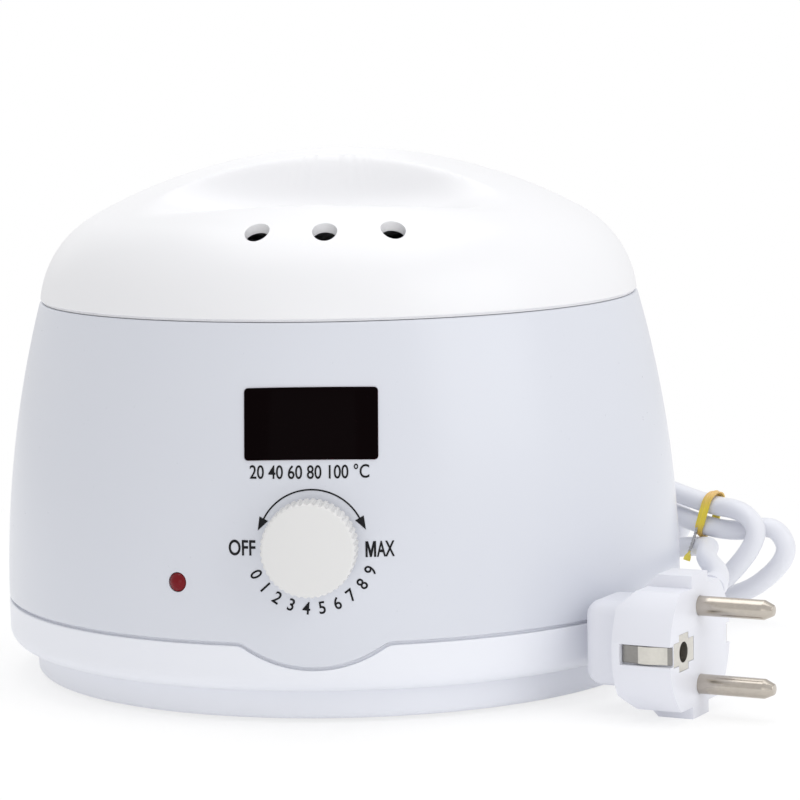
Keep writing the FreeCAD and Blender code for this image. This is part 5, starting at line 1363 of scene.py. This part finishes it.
def gold_foil():
    """Gold that looks like copper where the tie folds over the lead and where it is twisted shut."""
    material = plastic("gold_tie", BRIGHT_GOLD, (0.74, 0.54, 0.05), 0.36, peel=1.6)
    tree = material.node_tree
    effect = next(node for node in tree.nodes if node.type == "GROUP")
    place = add_node(tree, PLACE).outputs["Object"]
    parted = add_node(tree, "ShaderNodeSeparateXYZ", [("Vector", place)])
    limits = [("From Min", (tie_low - FLAG_REACH) * MM), ("From Max", tie_high * MM)]
    level = add_node(tree, RANGE, [("Value", parted.outputs["Z"]), *limits])
    ramp = add_node(tree, "ShaderNodeValToRGB", [("Fac", level.outputs["Result"])])
    stops = ramp.color_ramp.elements
    stops[0].color = (*PALE_GOLD, 1)
    stops[1].color = (*PALE_COPPER, 1)
    twist = FLAG_REACH / (FLAG_REACH + tie_high - tie_low)
    for share, colour in (
        (twist * 0.8, PALE_GOLD),
        (twist + 0.03, DARK_COPPER),
        (twist + 0.18, BRIGHT_GOLD),
        (twist + 0.36, BRIGHT_GOLD),
    ):
        stops.new(share).color = (*colour, 1)
    feed(tree, effect, [("Colour", ramp.outputs["Color"])])
    return material


print("relief is", PEEL_DEPTH, "mm deep on plastic and", LINE_DEPTH, "mm on metal")

# %% List the finishes
ROUND_LINES = (120, 120, 2600)
LEVEL_LINES = (60, 60, 3000)
CROSS_LINES = (900, 900, 900)
FINISHES = {
    "body_white": plastic("glossy_body", (0.705, 0.725, 0.785), (0.675, 0.695, 0.765), 0.28),
    "base_white": plastic("satin_base", (0.85, 0.865, 0.92), (0.825, 0.84, 0.90), 0.34),
    "lid_white": plastic("satin_lid", (0.88, 0.88, 0.90), (0.855, 0.86, 0.885), 0.33),
    "knob_white": plastic("matt_knob", (0.76, 0.755, 0.75), (0.73, 0.73, 0.73), 0.45),
    "window_black": plastic("smoked_window", (0.0025, 0.0012, 0.0014), (0.004, 0.0016, 0.002), 0.08,
                            peel=0.02, Specular_IOR_Level=0.015),
    "lens_red": plastic("red_lamp", (0.19, 0.004, 0.009), (0.13, 0.003, 0.006), 0.08,
                        peel=0.02, Specular_IOR_Level=0.2),
    "pot_aluminium": metal("brushed_pot", (0.80, 0.80, 0.81), 0.28, ROUND_LINES),
    "bowl_aluminium": metal("pressed_bowl", (0.68, 0.68, 0.70), 0.40, ROUND_LINES),
    "band_steel": metal("dull_band", (0.52, 0.52, 0.53), 0.42, LEVEL_LINES),
    "screw_steel": metal("zinc_screws", (0.62, 0.62, 0.63), 0.33, CROSS_LINES, lines=0.3),
    "part_black": plastic("black_print", (0.012, 0.012, 0.014), (0.016, 0.016, 0.018), 0.5,
                          peel=0.02, Specular_IOR_Level=0.1),
    "part_cream": plastic("cream_parts", (0.72, 0.66, 0.52), (0.66, 0.60, 0.46), 0.5),
    "board_green": plastic("green_board", (0.03, 0.15, 0.06), (0.05, 0.20, 0.09), 0.32, drift=0.9),
    "wire_grey": plastic("grey_wires", (0.34, 0.34, 0.36), (0.28, 0.28, 0.30), 0.55),
    "cord_white": plastic("soft_lead", (0.80, 0.81, 0.86), (0.75, 0.76, 0.82), 0.42, peel=0.2),
    "plug_white": plastic("moulded_plug", (0.80, 0.81, 0.87), (0.76, 0.77, 0.84), 0.36, peel=0.15),
    "pin_nickel": metal("nickel_pins", (0.52, 0.475, 0.42), 0.2, CROSS_LINES, lines=0.15),
    "earth_steel": metal("plated_strip", (0.64, 0.62, 0.57), 0.30, CROSS_LINES, lines=0.3),
    "tie_gold": gold_foil(),
    "foot_grey": plastic("rubber_feet", (0.62, 0.62, 0.63), (0.56, 0.56, 0.58), 0.7, peel=1.2),
}
print(len(FINISHES), "finishes are ready")


# %% Dress every piece
def dress(piece, material):
    """Give a piece one finish all over."""
    if not piece.material_slots:
        piece.data.materials.append(material)
    for slot in piece.material_slots:
        slot.material = material


for part in frame["record"]["subparts"]:
    dress(nodes[part["node"]], FINISHES[part["material_slot"]])
for piece, slot in settled:
    dress(piece, FINISHES[slot])
print("dressed", len(nodes), "packed pieces and", len(settled), "new ones")

# %% [markdown]
# Two pieces have a second finish on some of their faces: the window's rounded edge is a deep red, and
# the ends of the earth strips, which are bent away from the light, get painted shade: a darker, rougher
# copy of their metal.

# %% Give some faces a finish of their own
EDGE_FACING = 0.95
STRIP_HEEL = 8.6
STRIP_TIP = 1.5


def accent(piece, material, chosen):
    """Give the faces that a test picks a second finish."""
    piece.data.materials.append(material)
    found = [polygon for polygon in piece.data.polygons if chosen(polygon)]
    for polygon in found:
        polygon.material_index = len(piece.data.materials) - 1
    return len(found)


def beside_window(polygon):
    """Faces of the pane that don't look straight out of the wall."""
    return polygon.normal.dot(WINDOW_PLACE.to_3x3() @ Vector((0, 0, 1))) < EDGE_FACING


def strip_end(polygon):
    """Faces at the heel and at the tip of an earth strip, which are painted darker as shade."""
    along = (PLUG_PLACE.inverted() @ polygon.center).x / MM
    return along < -STRIP_HEEL or along > -STRIP_TIP


edge_red = plastic("red_edge", (0.11, 0.006, 0.017), (0.08, 0.004, 0.012), 0.12, Specular_IOR_Level=0.3)
# painted shade: the strips' bent ends get a darker copy of their metal in place of the shade they fall
# in
strip_end_painted_shade = metal("strip_end_painted_shade", (0.30, 0.29, 0.275), 0.36, CROSS_LINES, lines=0.3)
print("faces round the window:", accent(pane, edge_red, beside_window))
print("faces at the ends of the strips:", accent(strips, strip_end_painted_shade, strip_end))

# %% [markdown]
# ## Light and floor
#
# The photograph is a cut-out on white with a faint shadow. Four wide, soft lamps light the heater at
# a plain level, in a white room. The floor shows mostly its own white to the camera, so the
# background stays white, and lets a part of its shading through, so the shadow stays. It also glows
# faintly, which lights the lower edges from below.

# %% Light the table
HEATER_MIDDLE = Vector((0, 0, 60))


def lamp_panel(name, place, width, power):
    """A square soft lamp that looks at the heater."""
    panel = make(bpy.ops.object.light_add, name, type="AREA", location=Vector(place) * MM)
    panel.data.size = width * MM
    panel.data.energy = power
    away = Vector(place) - HEATER_MIDDLE
    panel.rotation_euler = away.to_track_quat("Z", "Y").to_euler()


lamp_panel("key_lamp", (740, -480, 500), 700, 2.1)
lamp_panel("front_lamp", (-80, -980, 120), 500, 0.6)
lamp_panel("top_lamp", (0, 60, 900), 800, 3.0)
lamp_panel("back_lamp", (-300, 700, 520), 700, 0.4)
bpy.context.scene.view_settings.view_transform = "Standard"

# %% Whiten the room
ROOM_LEVEL = 0.62
MIRROR_SHARE = 0.55
WHITE = (1, 1, 1, 1)
world = bpy.data.worlds.new("white_room")
bpy.context.scene.world = world
world.use_nodes = True
sky = world.node_tree
ray = add_node(sky, "ShaderNodeLightPath").outputs
seen = maths(sky, "MAXIMUM", ray["Is Camera Ray"], ray["Is Transmission Ray"])
mirrored = maths(sky, "MULTIPLY", ray["Is Glossy Ray"], MIRROR_SHARE)
either = maths(sky, "MAXIMUM", seen, mirrored)
strength = add_node(sky, RANGE, [("Value", either), ("To Min", ROOM_LEVEL), ("To Max", 1.0)])
feed(sky, sky.nodes["Background"], [("Strength", strength.outputs["Result"]), ("Color", WHITE)])
print("the room lights the heater at", ROOM_LEVEL, "of the white that the camera sees")

# %% Lay the white floor
FLOOR_GLOW = 0.18
NEAR_WHITE = 0.62
FADE_START = 0.10
FADE_END = 0.30
floor = make(bpy.ops.mesh.primitive_plane_add, "floor", size=6)
paper = bpy.data.materials.new("white_paper")
paper.use_nodes = True
tree = paper.node_tree
shader = tree.nodes["Principled BSDF"]
matt = [("Base Color", (0.9, 0.9, 0.9, 1)), ("Roughness", 0.9), ("Specular IOR Level", 0.0)]
feed(tree, shader, [*matt, ("Emission Color", WHITE), ("Emission Strength", FLOOR_GLOW)])
place = add_node(tree, PLACE).outputs["Object"]
distance = add_node(tree, "ShaderNodeVectorMath", [(0, place)], operation="LENGTH")
limits = [("From Min", FADE_START), ("From Max", FADE_END), ("To Min", NEAR_WHITE), ("To Max", 1.0)]
fading = [("Value", distance.outputs["Value"]), *limits]
fade = add_node(tree, RANGE, fading, interpolation_type="SMOOTHSTEP")
camera_ray = add_node(tree, "ShaderNodeLightPath").outputs["Is Camera Ray"]
share = maths(tree, "MULTIPLY", fade.outputs["Result"], camera_ray)
glow = add_node(tree, "ShaderNodeEmission")
blended = [("Fac", share), (1, shader.outputs["BSDF"]), (2, glow.outputs["Emission"])]
blend = add_node(tree, "ShaderNodeMixShader", blended)
feed(tree, tree.nodes["Material Output"], [("Surface", blend.outputs["Shader"])])
floor.data.materials.append(paper)
print("the floor keeps", round(1 - NEAR_WHITE, 2), "of its shading near the heater")

# %% [markdown]
# ## Setting the lead
#
# The lead rides on the housing, stands in for the imported lead's pieces and takes the cord's finish.

settle(lead, "housing", "cord_white", "cord_lead", "cord_hank", "cord_tail")
dress(lead, FINISHES["cord_white"])
